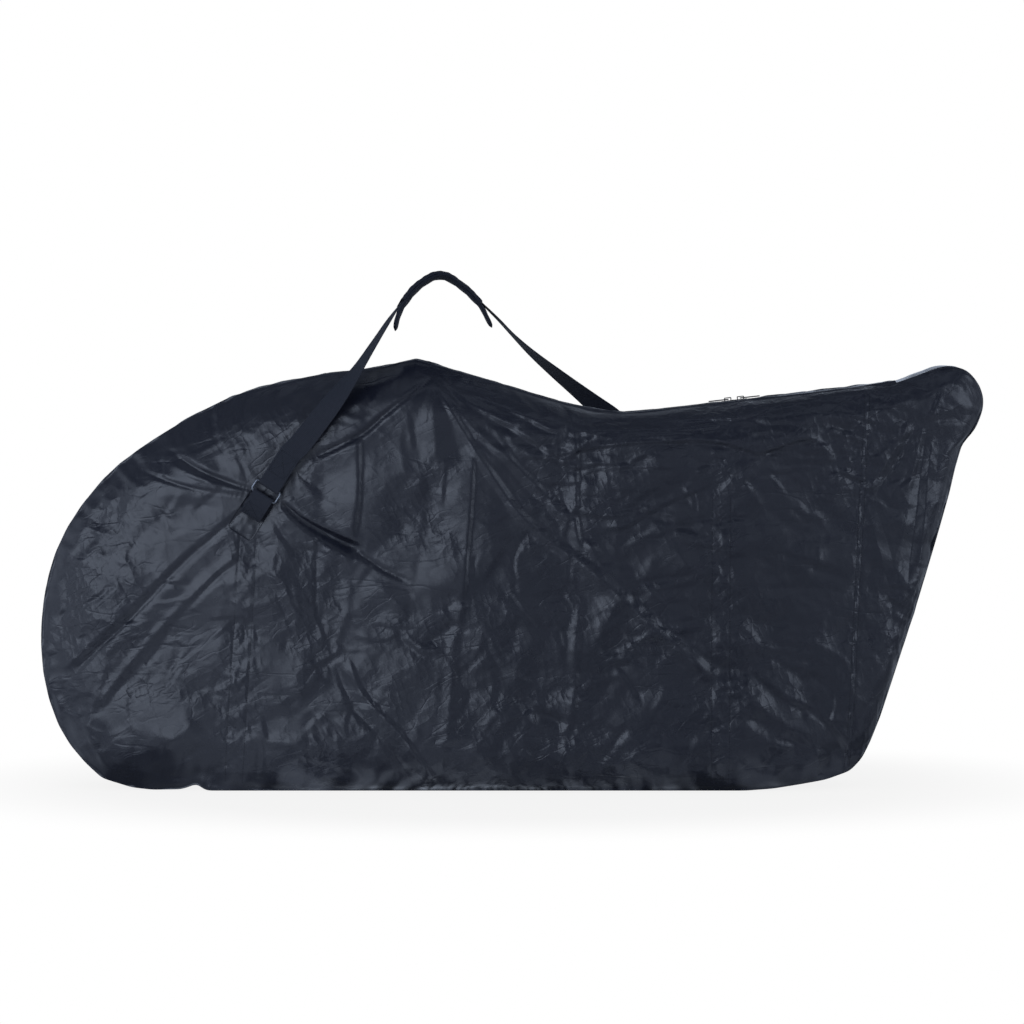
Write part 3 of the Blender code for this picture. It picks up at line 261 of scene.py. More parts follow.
# Where the cloth is crushed into small crinkles: column, row, radius, strength
CRINKLES = (
    (100, 512, 26, 1.0), (92, 550, 18, 0.6), (72, 596, 20, 0.7), (58, 570, 12, 0.7), (324, 566, 20, 1.0),
    (236, 440, 22, 0.8), (268, 430, 20, 0.5), (214, 396, 22, 0.8), (292, 470, 14, 0.8), (244, 545, 18, 1.0),
    (405, 515, 22, 1.1), (424, 485, 16, 0.8), (437, 530, 18, 1.0), (455, 548, 12, 1.0), (452, 603, 12, 1.1),
    (398, 632, 18, 1.0), (428, 640, 20, 1.1), (316, 660, 18, 1.2), (284, 700, 12, 0.8), (530, 545, 12, 1.0),
    (560, 600, 16, 1.1), (577, 565, 12, 1.2), (575, 625, 12, 1.0), (628, 615, 22, 1.2), (660, 640, 16, 1.1),
    (575, 690, 12, 0.8), (570, 740, 12, 0.8), (720, 480, 16, 0.7), (716, 540, 14, 0.8), (722, 600, 22, 1.1),
    (745, 625, 24, 1.1), (735, 668, 22, 1.1), (722, 705, 20, 1.1), (712, 745, 16, 0.8), (760, 610, 16, 0.8),
    (835, 480, 20, 0.8), (816, 495, 18, 0.8), (860, 470, 10, 0.9), (864, 520, 8, 0.9), (718, 412, 20, 1.2),
    (790, 402, 24, 1.0), (758, 416, 16, 1.0), (478, 690, 14, 0.8), (400, 744, 12, 0.8), (424, 780, 10, 0.8),
    (820, 640, 14, 0.6), (800, 560, 14, 0.4), (360, 395, 14, 0.5), (190, 420, 16, 0.6), (560, 768, 12, 0.6),
)
NEAR_ANCHOR = (262, 500)
FAR_ANCHOR = (718, 506)
# Where the strap leaves each side, over the top edge
NEAR_STRAP_TOP = (356, 370)
FAR_STRAP_TOP = (616, 421)


def seen(column, row, depth):
    """Point at a depth that the camera sees in a column and row of the photograph."""
    across, up = (column - MIDDLE_COLUMN) * PIXEL, (PICTURE_PIXELS / 2 - row) * PIXEL
    ray = AIM + Vector((across, 0, 0)) + UPWARD * up - EYE
    return EYE + ray * ((depth - EYE.y) / ray.y)


def metres(column, row):
    """Place on the near side's flat, along and up, from the photograph's column and row."""
    at = seen(column, row, -BAG_DEPTH / 2)
    return at.x, at.z


def spot(shares, depth=0.0):
    return Vector(((shares[0] - 0.5) * BAG_LENGTH, depth, shares[1] * BAG_HEIGHT))


def ramp(value, low, high):
    share = np.clip((value - low) / (high - low), 0, 1)
    return share * share * (3 - 2 * share)


# Noise
TABLE = np.random.default_rng(11).random((256, 256))


def noise(x, z, size, shift=0.0):
    """Smooth value noise from 0 to 1, with bumps about as wide as size."""
    u, v = x / size + 37.3 + shift, z / size + 91.7 + shift * 1.7
    i, j = np.floor(u).astype(int), np.floor(v).astype(int)
    a, b = u - i, v - j
    a, b = a * a * (3 - 2 * a), b * b * (3 - 2 * b)
    p, q, r, s = (TABLE[(i + m) % 256, (j + n) % 256] for m, n in ((0, 0), (1, 0), (0, 1), (1, 1)))
    return (p * (1 - a) + q * a) * (1 - b) + (r * (1 - a) + s * a) * b


def creased(x, z, size, shift, angle=0.0, stretch=1.0):
    """Smooth facets that meet in sharp creases, in metres for a slope of about one."""
    bend = size * 0.9
    u = x + bend * (noise(x, z, size * 1.3, shift) - 0.5)
    v = z + bend * (noise(x, z, size * 1.3, shift + 13) - 0.5)
    u, v = u * math.cos(angle) + v * math.sin(angle), v * math.cos(angle) - u * math.sin(angle)
    u, v = u / (size * stretch) + 50.3 + shift, v / size + 71.9 + shift * 1.7
    i, j = np.floor(u).astype(int), np.floor(v).astype(int)
    best = np.full(len(x), -9.0)
    for m in range(-2, 3):
        for n in range(-2, 3):
            p, q = (i + m) % 256, (j + n) % 256
            du, dv = u - (i + m + TABLE[p, q]), v - (j + n + TABLE[q, p])
            tilt_u, tilt_v = TABLE[(p + 77) % 256, q] - 0.5, TABLE[p, (q + 113) % 256] - 0.5
            best = np.maximum(best, 1.3 * (tilt_u * du + tilt_v * dv) - 0.27 * (du * du + dv * dv))
    return (best - 0.16) * size


# Folds
def smooth_line(points, steps=5):
    """Points of a smooth curve through the given points."""
    points = np.array(points, float)
    padded = np.vstack([2 * points[0] - points[1], points, 2 * points[-1] - points[-2]])
    line = []
    for a, b, c, d in zip(padded, padded[1:], padded[2:], padded[3:]):
        for step in range(steps):
            t = step / steps
            line.append(
                0.5 * (2 * b + (c - a) * t + (2 * a - 5 * b + 4 * c - d) * t ** 2
                       + (3 * b - a - 3 * c + d) * t ** 3)
            )
    line.append(points[-1])
    return np.array(line)


def read_fold(points, section, fades=(0.2, 0.2), sizes=(1, 1)):
    """A fold from its row in a table, with a single crest written out as a section."""
    if not isinstance(section[0], tuple):
        right, height, left = section
        section = ((-right, 0), (0, height), (left, 0))
    return points, section, fades, sizes


def add_fold(x, z, out, points, section, fades, sizes):
    """Adds a fold to out."""
    line = np.array([metres(c, r) for c, r in smooth_line(points)])
    offsets = np.array([item[0] for item in section]) * PIXEL
    heights = np.array([item[1] for item in section]) * 0.001
    reach = np.abs(offsets).max() * max(sizes) * 1.02
    low, high = line.min(0) - reach, line.max(0) + reach
    near = np.nonzero((x > low[0]) & (x < high[0]) & (z > low[1]) & (z < high[1]))[0]
    if not len(near):
        return
    px, pz = x[near], z[near]
    best = np.full(len(near), 1e9)
    side, share = np.zeros(len(near)), np.zeros(len(near))
    lengths = np.hypot(*(line[1:] - line[:-1]).T)
    total = lengths.sum()
    walked = 0.0
    for (ax, az), (bx, bz), length in zip(line, line[1:], lengths):
        dx, dz = (bx - ax) / length, (bz - az) / length
        along = np.clip((px - ax) * dx + (pz - az) * dz, 0, length)
        ox, oz = px - ax - dx * along, pz - az - dz * along
        distance = ox * ox + oz * oz
        closer = distance < best
        best = np.where(closer, distance, best)
        left = np.where((px - ax) * -dz + (pz - az) * dx >= 0, 1.0, -1.0)
        side = np.where(closer, left, side)
        share = np.where(closer, (walked + along) / total, share)
        walked += length
    size = sizes[0] + (sizes[1] - sizes[0]) * share
    start = np.clip(share / max(fades[0], 1e-3), 0, 1)
    end = np.clip((1 - share) / max(fades[1], 1e-3), 0, 1)
    fade = start * start * (3 - 2 * start) * end * end * (3 - 2 * end)
    height = np.interp(side * np.sqrt(best) / size, offsets, heights, 0, 0)
    out[near] += height * size * fade


def random_folds(count, seed):
    """Small creases all over, mostly along the pull to the nearest of PULLS."""
    draw = np.random.default_rng(seed)
    made = []
    for _ in range(count):
        column, row = draw.uniform(50, 960), draw.uniform(385, 778)
        gaps = [math.hypot(column - c, row - r) for c, r in PULLS]
        c, r = PULLS[int(np.argmin(gaps))]
        angle = math.atan2(row - r, column - c) + draw.normal(0, 0.75)
        if column > RIGHT_OF and draw.random() < 0.6:
            angle = draw.normal(0, 0.35)
        length = draw.uniform(12, 60)
        bend = draw.normal(0, 0.13) * length
        dx, dy = math.cos(angle) * length / 2, math.sin(angle) * length / 2
        middle = (column - dy * bend / length, row + dx * bend / length)
        wide, high = draw.uniform(4, 14), draw.uniform(0.4, 1.3) * draw.choice((-1, 1))
        if column > RIGHT_OF:
            high *= 1.4
        section = ((-wide, 0), (-1.8, high), (1.8, -high), (wide, 0))
        points = ((column - dx, row - dy), middle, (column + dx, row + dy))
        made.append(read_fold(points, section, (0.3, 0.3)))
    return made


def turned(points, section, fades, sizes):
    """A fold of the near anchor, turned over to the far side's anchor."""
    right, down = FAR_ANCHOR[0] + NEAR_ANCHOR[0], FAR_ANCHOR[1] - NEAR_ANCHOR[1]
    points = tuple((right - c, r + down) for c, r in points)
    section = tuple((-offset, height) for offset, height in reversed(section))
    return points, section, fades, sizes


def line_offset(x, z, shares):
    """Distance in front of an upright line, and the share of the way down it."""
    high, low = (spot(pair) for pair in shares)
    way = (low - high).normalized()
    along = (x - high.x) * way.x + (z - high.z) * way.z
    across = (x - high.x) * -way.z + (z - high.z) * way.x
    return across, along / (low - high).length


def relief(x, z, far):
    """How far the cloth stands out of the plain form of a side, in metres, and how crushed it is."""
    shift = 40.0 if far else 0.0

    def facets(size, number, angle=0.0, stretch=1.0):
        return creased(x, z, size, number + shift, angle, stretch)

    out = np.zeros_like(x)
    anchored = [read_fold(*row) for row in ANCHOR_FOLDS]
    folds = [read_fold(*row) for row in BODY_FOLDS]
    folds += [turned(*fold) for fold in anchored] if far else anchored
    folds += random_folds(RANDOM_FOLDS, 5 if far else 3)
    for fold in folds:
        add_fold(x, z, out, *fold)
    rightward = ramp(x, -0.12, 0.10)
    out += (0.14 - 0.05 * rightward) * facets(0.105, 1.0)
    out -= (0.12 + 0.03 * rightward) * facets(0.055, 2.0, 0.6)
    out += rightward * 0.27 * facets(0.030, 10.0, 0.08, 3.6)
    out += 0.006 * (noise(x, z, 0.23, 3.0 + shift) - 0.5)
    bunched = ramp(z, 0.575, 0.615) * ramp(x, -0.15, 0.05) * ramp(-x, -0.74, -0.66)
    out += bunched * 0.62 * facets(0.0145, 4.0, -0.06, 7.0)
    out += ramp(-z, -0.14, -0.05) * 0.42 * facets(0.022, 9.0, 1.5, 3.0)
    crushed = np.zeros_like(x)
    for column, row, radius, strength in CRINKLES:
        cx, cz = metres(FAR_ANCHOR[0] + NEAR_ANCHOR[0] - column if far else column, row)
        crushed += strength * np.exp(-((x - cx) ** 2 + (z - cz) ** 2) / (radius * PIXEL) ** 2)
    for shares, wide, slant in GATHERED:
        across, down = line_offset(x, z, shares)
        inside = ramp(down, -0.10, 0.05) * ramp(-down, -1.02, -0.98)
        crushed += 0.55 * np.exp(-(across / wide) ** 2) * inside
        out += 0.30 * facets(0.011, 5.0, slant, 2.6) * np.exp(-(across / (wide * 0.9)) ** 2) * inside
    everywhere = 0.16 + 0.14 * rightward + 0.55 * ramp(noise(x, z, 0.11, 8.0 + shift), 0.50, 0.78)
    crushed = np.clip(crushed + everywhere, 0, 1.2)
    out += crushed * (0.24 * facets(0.027, 6.0, 0.9, 1.7) - 0.26 * facets(0.015, 7.0, -0.5, 1.9))
    for shares, offset in SEWN_LINES:
        across, down = line_offset(x, z, shares)
        inside = ramp(down, -0.01, 0.01) * ramp(-down, -1.01, -0.99)
        out -= 0.0007 * np.exp(-((across - offset) / 0.0020) ** 2) * inside
    return out, crushed


# Outline
def outline_stations():
    """The CAD's own outline: x, z, half width; and where each stretch starts."""
    rows, starts = [], {}
    for name, stretch in OUTLINE.items():
        starts[len(rows)] = name
        rows.extend(stretch)
    count = len(rows)
    keys = [spot(row) for row in rows]
    ways = [(keys[(i + 1) % count] - keys[i - 1]).normalized() for i in range(count)]
    stations, firsts = [], {}
    for i, row in enumerate(rows):
        if i in starts:
            firsts[starts[i]] = len(stations)
        after = (i + 1) % count
        reach = (keys[after] - keys[i]).length / 3
        handles = keys[i] + ways[i] * reach, keys[after] - ways[after] * reach
        curve = interpolate_bezier(keys[i], *handles, keys[after], row[3] + 1)
        for step in range(row[3]):
            share = step / row[3]
            half = (row[2] * (1 - share) + rows[after][2] * share) * BAG_DEPTH
            stations.append((curve[step].x, curve[step].z, half))
    return np.array(stations), firsts


def dense_outline():
    """Outline at even steps, its corners slightly rounded away from the zip."""
    stations, firsts = outline_stations()
    names = list(firsts)
    parts, ranges, total = [], {}, 0
    for i, name in enumerate(names):
        last = firsts[names[i + 1]] if i + 1 < len(names) else len(stations)
        run = np.vstack([stations[firsts[name]:last], stations[last % len(stations)]])
        marks = np.concatenate([[0], np.cumsum(np.hypot(*(run[1:, :2] - run[:-1, :2]).T))])
        count = round(marks[-1] / STEP)
        places = np.linspace(0, marks[-1], count, endpoint=False)
        parts.append(np.column_stack([np.interp(places, marks, run[:, k]) for k in range(3)]))
        ranges[name] = (total, total + count)
        total += count
    dense = np.vstack(parts)
    soft = dense.copy()
    for _ in range(7):
        soft = (np.roll(soft, 1, 0) + 2 * soft + np.roll(soft, -1, 0)) / 4
    keep = np.zeros((total, 1))
    keep[ranges["zip"][0]:ranges["zip"][1]] = 1
    return dense * keep + soft * (1 - keep), ranges


def outward(points):
    """Unit normals of the closed outline, out of the bag."""
    ways = np.roll(points[:, :2], -1, 0) - np.roll(points[:, :2], 1, 0)
    ways /= np.hypot(*ways.T)[:, None]
    return np.column_stack([-ways[:, 1], ways[:, 0]])


def half_depth_at(x):
    taper = (TAPER_START - 0.5) * BAG_LENGTH
    past = np.clip((x - taper) / (BAG_LENGTH / 2 - taper), 0, 1)
    return BAG_DEPTH / 2 + (FRONT_DEPTH - BAG_DEPTH) / 2 * past


def seam_x(z):
    """Place along the bag of the seam between main and front panel, at a height."""
    high, low = (spot(pair) for pair in PANEL_SEAM)
    return low.x + (high.x - low.x) * (z - low.z) / (high.z - low.z)


def add_piece(name, data, finish, node=None):
    """New piece of the bag, in the place of a CAD node if one is named."""
    data.materials.append(finish)
    made = bpy.data.objects.new(name, data)
    bpy.context.scene.collection.objects.link(made)
    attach(made, "bag")
    if node:
        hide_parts(node)
    return made


def make_mesh(name, points, faces, finish, node=None, maps=None):
    """New piece from arrays of points and quads."""
    mesh = bpy.data.meshes.new(name)
    points, faces = np.asarray(points, np.float32), np.asarray(faces, np.int32)
    mesh.vertices.add(len(points))
    mesh.vertices.foreach_set("co", points.ravel())
    mesh.loops.add(faces.size)
    mesh.loops.foreach_set("vertex_index", faces.ravel())
    mesh.polygons.add(len(faces))
    mesh.polygons.foreach_set("loop_start", np.arange(0, faces.size, faces.shape[1], dtype=np.int32))
    mesh.polygons.foreach_set("use_smooth", np.ones(len(faces), bool))
    mesh.update(calc_edges=True)
    for map_name, values in (maps or {}).items():
        layer = mesh.uv_layers.new(name=map_name)
        layer.data.foreach_set("uv", np.asarray(values, np.float32)[faces.ravel()].ravel())
    return add_piece(name, mesh, finish, node)


def grid_faces(rows, columns, closed=False, flip=False):
    """Quads of a grid of points, rows joined in a ring if closed."""
    i, j = np.meshgrid(np.arange(rows if closed else rows - 1), np.arange(columns - 1), indexing="ij")
    a, b = i * columns + j, (i + 1) % rows * columns + j
    return np.stack([a, a + 1, b + 1, b] if flip else [a, b, b + 1, a + 1], -1).reshape(-1, 4)


def bake_map(u, v):
    """Map that keeps the sheet's shape and fills a square."""
    size = max(np.ptp(u), np.ptp(v)) * 1.02
    return {"OFBake": np.column_stack([(u - u.min()) / size + 0.01, (v - v.min()) / size + 0.01])}


def side_points(stations, far):
    """Points of one side, station by station and inward, and how crushed the cloth is there."""
    share = np.linspace(0, 1, INWARD_STEPS) ** 1.12
    first, last = (spot(pair) for pair in SPINE)
    reach = np.clip((stations[:, 0] - first.x) / (last.x - first.x), 0, 1)
    spine = np.column_stack([first.x + (last.x - first.x) * reach, first.z + (last.z - first.z) * reach])
    flat = stations[:, None, :2] * (1 - share[None, :, None]) + spine[:, None] * share[None, :, None]
    x, z = flat[..., 0].ravel(), flat[..., 1].ravel()
    inward = np.broadcast_to(share, flat.shape[:2]).ravel()
    x = np.where(np.abs(x - seam_x(z)) < STEP * 0.55, seam_x(z), x)

    half = np.repeat(stations[:, 2], INWARD_STEPS)
    leftmost = ramp(-x, 0.25, 0.60)
    risen = np.clip((inward - 0.005) / (FULL_RISE_SHARE - 0.005), 0, 1)
    rise = 1 - (1 - risen) ** (3.2 - 1.3 * leftmost)
    hang = BULGE * ramp(x - 0.02, 0.05, 0.95)
    flat_depth = half_depth_at(x) - hang - LEFT_BULGE * ramp(0.02 - x, 0.05, 0.95)
    depth = half + (flat_depth - half) * rise

    folds, crushed = relief(x, z, far)
    column, row = FAR_ANCHOR if far else NEAR_ANCHOR
    at_x, at_z = metres(column, row + 12)
    calm = 1 - 0.9 * np.exp(-(((x - at_x) / 0.026) ** 2 + ((z - at_z) / 0.030) ** 2) ** 1.5)
    folds = folds * calm * ramp(inward, 0.0, 0.03 + 0.07 * leftmost)
    crushed = crushed * (1 - leftmost * (1 - ramp(inward, 0.02, 0.16)))
    arc = np.repeat(np.arange(len(stations)) * STEP, INWARD_STEPS)
    gathers = noise(arc, arc * 0, 0.015, 4.0 + far) + 0.8 * noise(arc, inward, 0.037, 6.0 + far) - 0.9
    depth += 0.0085 * gathers * np.exp(-inward / 0.06) * ramp(inward, 0.0, 0.016)

    # The cloth stays behind the strap and its tab, with a soft limit
    ends = (FAR_ANCHOR, FAR_STRAP_TOP) if far else (NEAR_ANCHOR, NEAR_STRAP_TOP)
    strap = np.array([metres(c, r) for c, r in ends])
    way = strap[1] - strap[0]
    share = np.clip(((x - strap[0, 0]) * way[0] + (z - strap[0, 1]) * way[1]) / (way @ way), 0, 1)
    from_strap = np.hypot(x - strap[0, 0] - way[0] * share, z - strap[0, 1] - way[1] * share)
    from_tab = np.hypot(x - at_x, z - at_z)
    most = half_depth_at(x) + 0.0002 + 0.003 * ramp(from_tab, 0.045, 0.20)
    most += 0.006 * ramp(from_strap, 0.03, 0.12)
    over = depth + folds - most
    depth = most - 0.0012 * np.logaddexp(0, -over / 0.0012)
    return np.column_stack([x, depth if far else -depth, z]), crushed


def make_sides(stations, finish):
    made = {}
    for side, name in BOTH_SIDES:
        points, crushed = side_points(stations, side > 0)
        faces = grid_faces(len(stations), INWARD_STEPS, closed=True, flip=side > 0)
        middle = points[faces].mean(1)
        front = middle[:, 0] > seam_x(middle[:, 2])
        for part, chosen in (("main", ~front), ("front", front)):
            used, numbered = np.unique(faces[chosen], return_inverse=True)
            kept = points[used]
            piece = make_mesh(
                f"{name}_{part}_cloth", kept, numbered.reshape(-1, 4), finish, f"{name}_{part}_panel",
                bake_map(kept[:, 0], kept[:, 2]),
            )
            crush = np.clip(crushed[used] - 0.12, 0, 0.8).astype(np.float32)
            piece.data.attributes.new("crush", "FLOAT", "POINT").data.foreach_set("value", crush)
            made[piece.name] = piece
    return made


def surface_of(pieces):
    """Ray-cast surface over several pieces."""
    points, faces = [], []
    for piece in pieces:
        start = len(points)
        points += [vert.co.copy() for vert in piece.data.vertices]
        faces += [[start + i for i in polygon.vertices] for polygon in piece.data.polygons]
    return BVHTree.FromPolygons(points, faces)


# Materials
# Coated nylon: size, stretch, turn and depth of its facets, where they show, their share of crush
FACETS = (
    (0.036, 2.6, 0.7, 0.0030, 0.42, 0.2), (0.017, 3.2, -0.6, 0.0018, 0.47, 1.0),
    (0.009, 3.0, 1.2, 0.0011, 0.47, 1.2),
)
# The same for its long creases, which show in patches
CREASES = ((0.042, 3.5, 0.05, 0.0090, 0.5), (0.024, 2.6, -0.45, 0.0060, 0.9))


def add_node(tree, kind, inputs=None, **settings):
    made = tree.nodes.new("ShaderNode" + kind)
    for key, value in settings.items():
        setattr(made, key, value)
    for key, value in (inputs or {}).items():
        if isinstance(value, bpy.types.NodeSocket):
            tree.links.new(value, made.inputs[key])
        else:
            made.inputs[key].default_value = value
    return made


def calc(tree, operation, *values):
    """Result of a math node."""
    return add_node(tree, "Math", dict(enumerate(values)), operation=operation).outputs[0]


def vector_calc(tree, operation, *values):
    """Result of a vector math node, a length or a vector."""
    made = add_node(tree, "VectorMath", dict(enumerate(values)), operation=operation)
    return made.outputs["Value" if operation == "LENGTH" else "Vector"]


def cloud(tree, place, scale, detail=2.0, distortion=0.0):
    """Strength of a noise texture."""
    inputs = {"Vector": place, "Scale": scale, "Detail": detail, "Distortion": distortion}
    return add_node(tree, "TexNoise", inputs).outputs["Fac"]


def ranged(tree, value, low, high, to_low, to_high, smooth=False):
    """A value moved from one range to another."""
    inputs = {"Value": value, "From Min": low, "From Max": high, "To Min": to_low, "To Max": to_high}
    kind = "SMOOTHSTEP" if smooth else "LINEAR"
    return add_node(tree, "MapRange", inputs, interpolation_type=kind).outputs["Result"]


def mapped(tree, place, scale, turn=0.0, kind="POINT"):
    inputs = {"Vector": place, "Rotation": (0, turn, 0), "Scale": scale}
    return add_node(tree, "Mapping", inputs, vector_type=kind).outputs[0]


def object_place(tree):
    return add_node(tree, "TexCoord").outputs["Object"]


def new_material(name, colour, roughness, metallic=0.0, specular=0.5):
    made = bpy.data.materials.new(name)
    made.use_nodes = True
    tree = made.node_tree
    shader = tree.nodes["Principled BSDF"]
    shader.inputs["Base Color"].default_value = (*colour, 1)
    shader.inputs["Roughness"].default_value = roughness
    shader.inputs["Metallic"].default_value = metallic
    shader.inputs["Specular IOR Level"].default_value = specular
    made.diffuse_color = (*colour, 1)
    return made, tree, shader


def tones(tree, shader, place, dark, light, size, detail=4.0):
    """Colour that drifts between two tones."""
    inputs = {0: cloud(tree, place, 1 / size, detail), 6: (*dark, 1), 7: (*light, 1)}
    mix = add_node(tree, "Mix", inputs, data_type="RGBA")
    tree.links.new(mix.outputs[2], shader.inputs["Base Color"])


def rough_range(tree, shader, place, low, high, size):
    spread = ranged(tree, cloud(tree, place, 1 / size, 3.0), 0.3, 0.7, low, high)
    tree.links.new(spread, shader.inputs["Roughness"])


def bump(tree, shader, height, distance, strength=1.0, below=None):
    inputs = {"Height": height, "Distance": distance, "Strength": strength}
    if below is not None:
        inputs["Normal"] = below
    made = add_node(tree, "Bump", inputs)
    tree.links.new(made.outputs["Normal"], shader.inputs["Normal"])
    return made.outputs["Normal"]


def nylon(name, dark, light, low, high, specular):
    """Coated nylon: smooth and a little glossy, finely crinkled, over a very fine weave."""
    made, tree, shader = new_material(name, dark, low, specular=specular)
    place = object_place(tree)
    tones(tree, shader, place, dark, light, 0.16)
    rough_range(tree, shader, place, low, high, 0.05)
    crush = add_node(tree, "Attribute", attribute_name="crush").outputs["Fac"]
    below = None
    for size, stretch, turn, deep, shown_from, with_crush in FACETS:
        warp = add_node(tree, "TexNoise", {"Vector": place, "Scale": 0.6 / size, "Detail": 1.0})
        moved = vector_calc(tree, "MULTIPLY", warp.outputs["Color"], (size,) * 3)
        shifted = vector_calc(tree, "ADD", place, moved)
        cells = {"Vector": mapped(tree, shifted, (stretch, 1, 1), turn, "TEXTURE"), "Scale": 1 / size}
        distance = add_node(tree, "TexVoronoi", cells, feature="F1").outputs["Distance"]
        shown = ranged(tree, cloud(tree, shifted, 0.22 / size), shown_from, shown_from + 0.22, 0.05, 0.6)
        much = calc(tree, "MULTIPLY_ADD", crush, with_crush, shown)
        height = calc(tree, "MULTIPLY", calc(tree, "POWER", distance, 2.0), much)
        below = bump(tree, shader, height, deep, 0.6, below)
    for size, stretch, turn, deep, with_crush in CREASES:
        along = mapped(tree, place, (stretch, 1, 1), turn, "TEXTURE")
        level = calc(tree, "SUBTRACT", cloud(tree, along, 1 / size, 1.5, 0.4), 0.5)
        line = calc(tree, "MINIMUM", calc(tree, "ABSOLUTE", level), 0.045)
        shown = ranged(tree, cloud(tree, place, 0.3 / size, 1.0), 0.46, 0.60, 0.0, 1.0)
        much = calc(tree, "MULTIPLY_ADD", crush, with_crush, shown)
        below = bump(tree, shader, calc(tree, "MULTIPLY", line, much), deep, 0.8, below)
    weave = add_node(tree, "TexWave", {"Vector": place, "Scale": 190.0}, bands_direction="Z")
    bump(tree, shader, weave.outputs["Fac"], 0.00003, 0.5, below)
    return made


def webbing(name, dark, light):
    """Flat woven webbing: ribs across it, over a map in metres along and across."""
    pitch = 0.0026
    made, tree, shader = new_material(name, dark, 0.78, specular=0.2)
    place = add_node(tree, "UVMap", uv_map="weave").outputs["UV"]
    tones(tree, shader, place, dark, light, 0.006, 6.0)
    ribs = {"Vector": place, "Scale": 0.314 / pitch, "Distortion": 0.6, "Detail": 1.0}
    across = add_node(tree, "TexWave", ribs, bands_direction="X").outputs["Fac"]
    lines = {"Vector": place, "Scale": 0.314 / (pitch * 0.75)}
    along = add_node(tree, "TexWave", lines, bands_direction="Y").outputs["Fac"]
    bump(tree, shader, calc(tree, "MULTIPLY", across, along), 0.0004, 0.8)
    return made


def cloth(name, dark, light, cell=0.0014, rough=0.85, deep=0.0003):
    """Plain or open-weave cloth without a map."""
    made, tree, shader = new_material(name, dark, rough, specular=0.2)
    place = object_place(tree)
    tones(tree, shader, place, dark, light, 0.02)
    cells = add_node(tree, "TexVoronoi", {"Vector": place, "Scale": 1 / cell, "Randomness": 0.25})
    bump(tree, shader, cells.outputs["Distance"], deep, 0.9)
    return made


def metal(name, colour, low, high, metallic):
    made, tree, shader = new_material(name, colour, low, metallic)
    place = object_place(tree)
    tones(tree, shader, place, colour, tuple(c * 1.25 for c in colour), 0.004)
    rough_range(tree, shader, place, low, high, 0.003)
    bump(tree, shader, cloud(tree, mapped(tree, place, (400, 90, 900)), 1.0), 0.00002, 0.6)
    return made


def plastic(name, colour):
    made, tree, shader = new_material(name, colour, 0.42)
    place = object_place(tree)
    tones(tree, shader, place, colour, tuple(c * 1.6 for c in colour), 0.005)
    rough_range(tree, shader, place, 0.36, 0.55, 0.002)
    bump(tree, shader, cloud(tree, place, 2600.0), 0.00005, 0.5)
    return made


NYLON = nylon("coated_nylon", (0.0078, 0.0092, 0.0165), (0.0105, 0.0124, 0.0215), 0.27, 0.37, 0.5)
PATCH_CLOTH = nylon("patch_cloth", (0.0070, 0.0084, 0.0150), (0.0095, 0.0112, 0.0195), 0.25, 0.35, 0.5)
BASE_CLOTH = nylon("base_cloth", (0.0100, 0.0120, 0.0190), (0.0135, 0.0155, 0.0240), 0.42, 0.55, 0.4)
WEBBING = webbing("webbing", (0.0165, 0.0190, 0.0275), (0.0240, 0.0275, 0.0385))
THREAD = cloth("thread", (0.0085, 0.0098, 0.0150), (0.0115, 0.0130, 0.0190), 0.0007, 0.7)
LINING = cloth("lining", (0.020, 0.020, 0.024), (0.028, 0.028, 0.032))
TAPE_CLOTH = cloth("zip_tape", (0.009, 0.010, 0.013), (0.013, 0.014, 0.018), 0.0010)
PAD_CLOTH = cloth("pad_cloth", (0.0100, 0.0125, 0.0205), (0.0150, 0.0180, 0.0285), 0.0022, 0.85, 0.0005)
FOAM = cloth("foam", (0.040, 0.040, 0.043), (0.050, 0.050, 0.053), 0.0016, 0.95, 0.0004)
# Rings' steel: its colour is set far darker than bare steel, painted shade that stands in for the dim
# reflections round the ring, so only glints show
SHADED_STEEL = metal("steel", (0.13, 0.14, 0.16), 0.22, 0.38, 1.0)
ZIP_METAL = metal("zip_metal", (0.018, 0.019, 0.024), 0.34, 0.50, 0.3)
PLASTIC = plastic("black_plastic", (0.010, 0.010, 0.012))

STATIONS, RANGES = dense_outline()
NORMALS = outward(STATIONS)
SIDES = make_sides(STATIONS, NYLON)

# Strips across the bag, along its outline
EDGE = WALL * 0.4
GUSSET_COLUMNS = 40
LIP = 0.0155
LIP_COLUMNS = 16
ZIP_TAPE_EDGES = (0.0256, 0.0056)
ZIP_TAPE_DEPTH = WALL + 0.0005


def band_points(name, low, high, columns, lift):
    """Points of a strip across the bag along a stretch; low and high are functions of half width."""
    start, end = RANGES[name]
    picked = np.arange(start, end + 1) % len(STATIONS)
    share = np.linspace(0, 1, columns)
    half = STATIONS[picked, 2]
    y = low(half)[:, None] * (1 - share) + high(half)[:, None] * share
    arc = np.broadcast_to((np.arange(len(picked)) * STEP)[:, None], y.shape)
    out = lift(arc, y, share[None, :], half[:, None])
    flat = STATIONS[picked, None, :2] + NORMALS[picked, None] * out[..., None]
    points = np.stack([flat[..., 0], y, flat[..., 1]], -1)
    return points.reshape(-1, 3), len(picked), bake_map(arc.ravel(), y.ravel())


def gusset_lift(seed, ripple, crown, level):
    """Cloth between two seams: gathered at both, loose between them, and flat up to level."""
    def lift(arc, y, share, half):
        middle = np.sin(np.pi * share) ** 0.6
        a, b = arc.ravel(), y.ravel()
        gathers = noise(a, b * 0.15, 0.016, seed) + 0.5 * noise(a, b, 0.037, seed + 3) - 0.75
        loose = creased(a, b, 0.060, seed + 5) * 50 - creased(a, b, 0.026, seed + 6, 0.8, 1.7) * 70
        folds = (0.8 * gathers + loose).reshape(y.shape)
        return (crown + ripple * folds) * middle * ramp(arc, level, level + 0.025)
    return lift


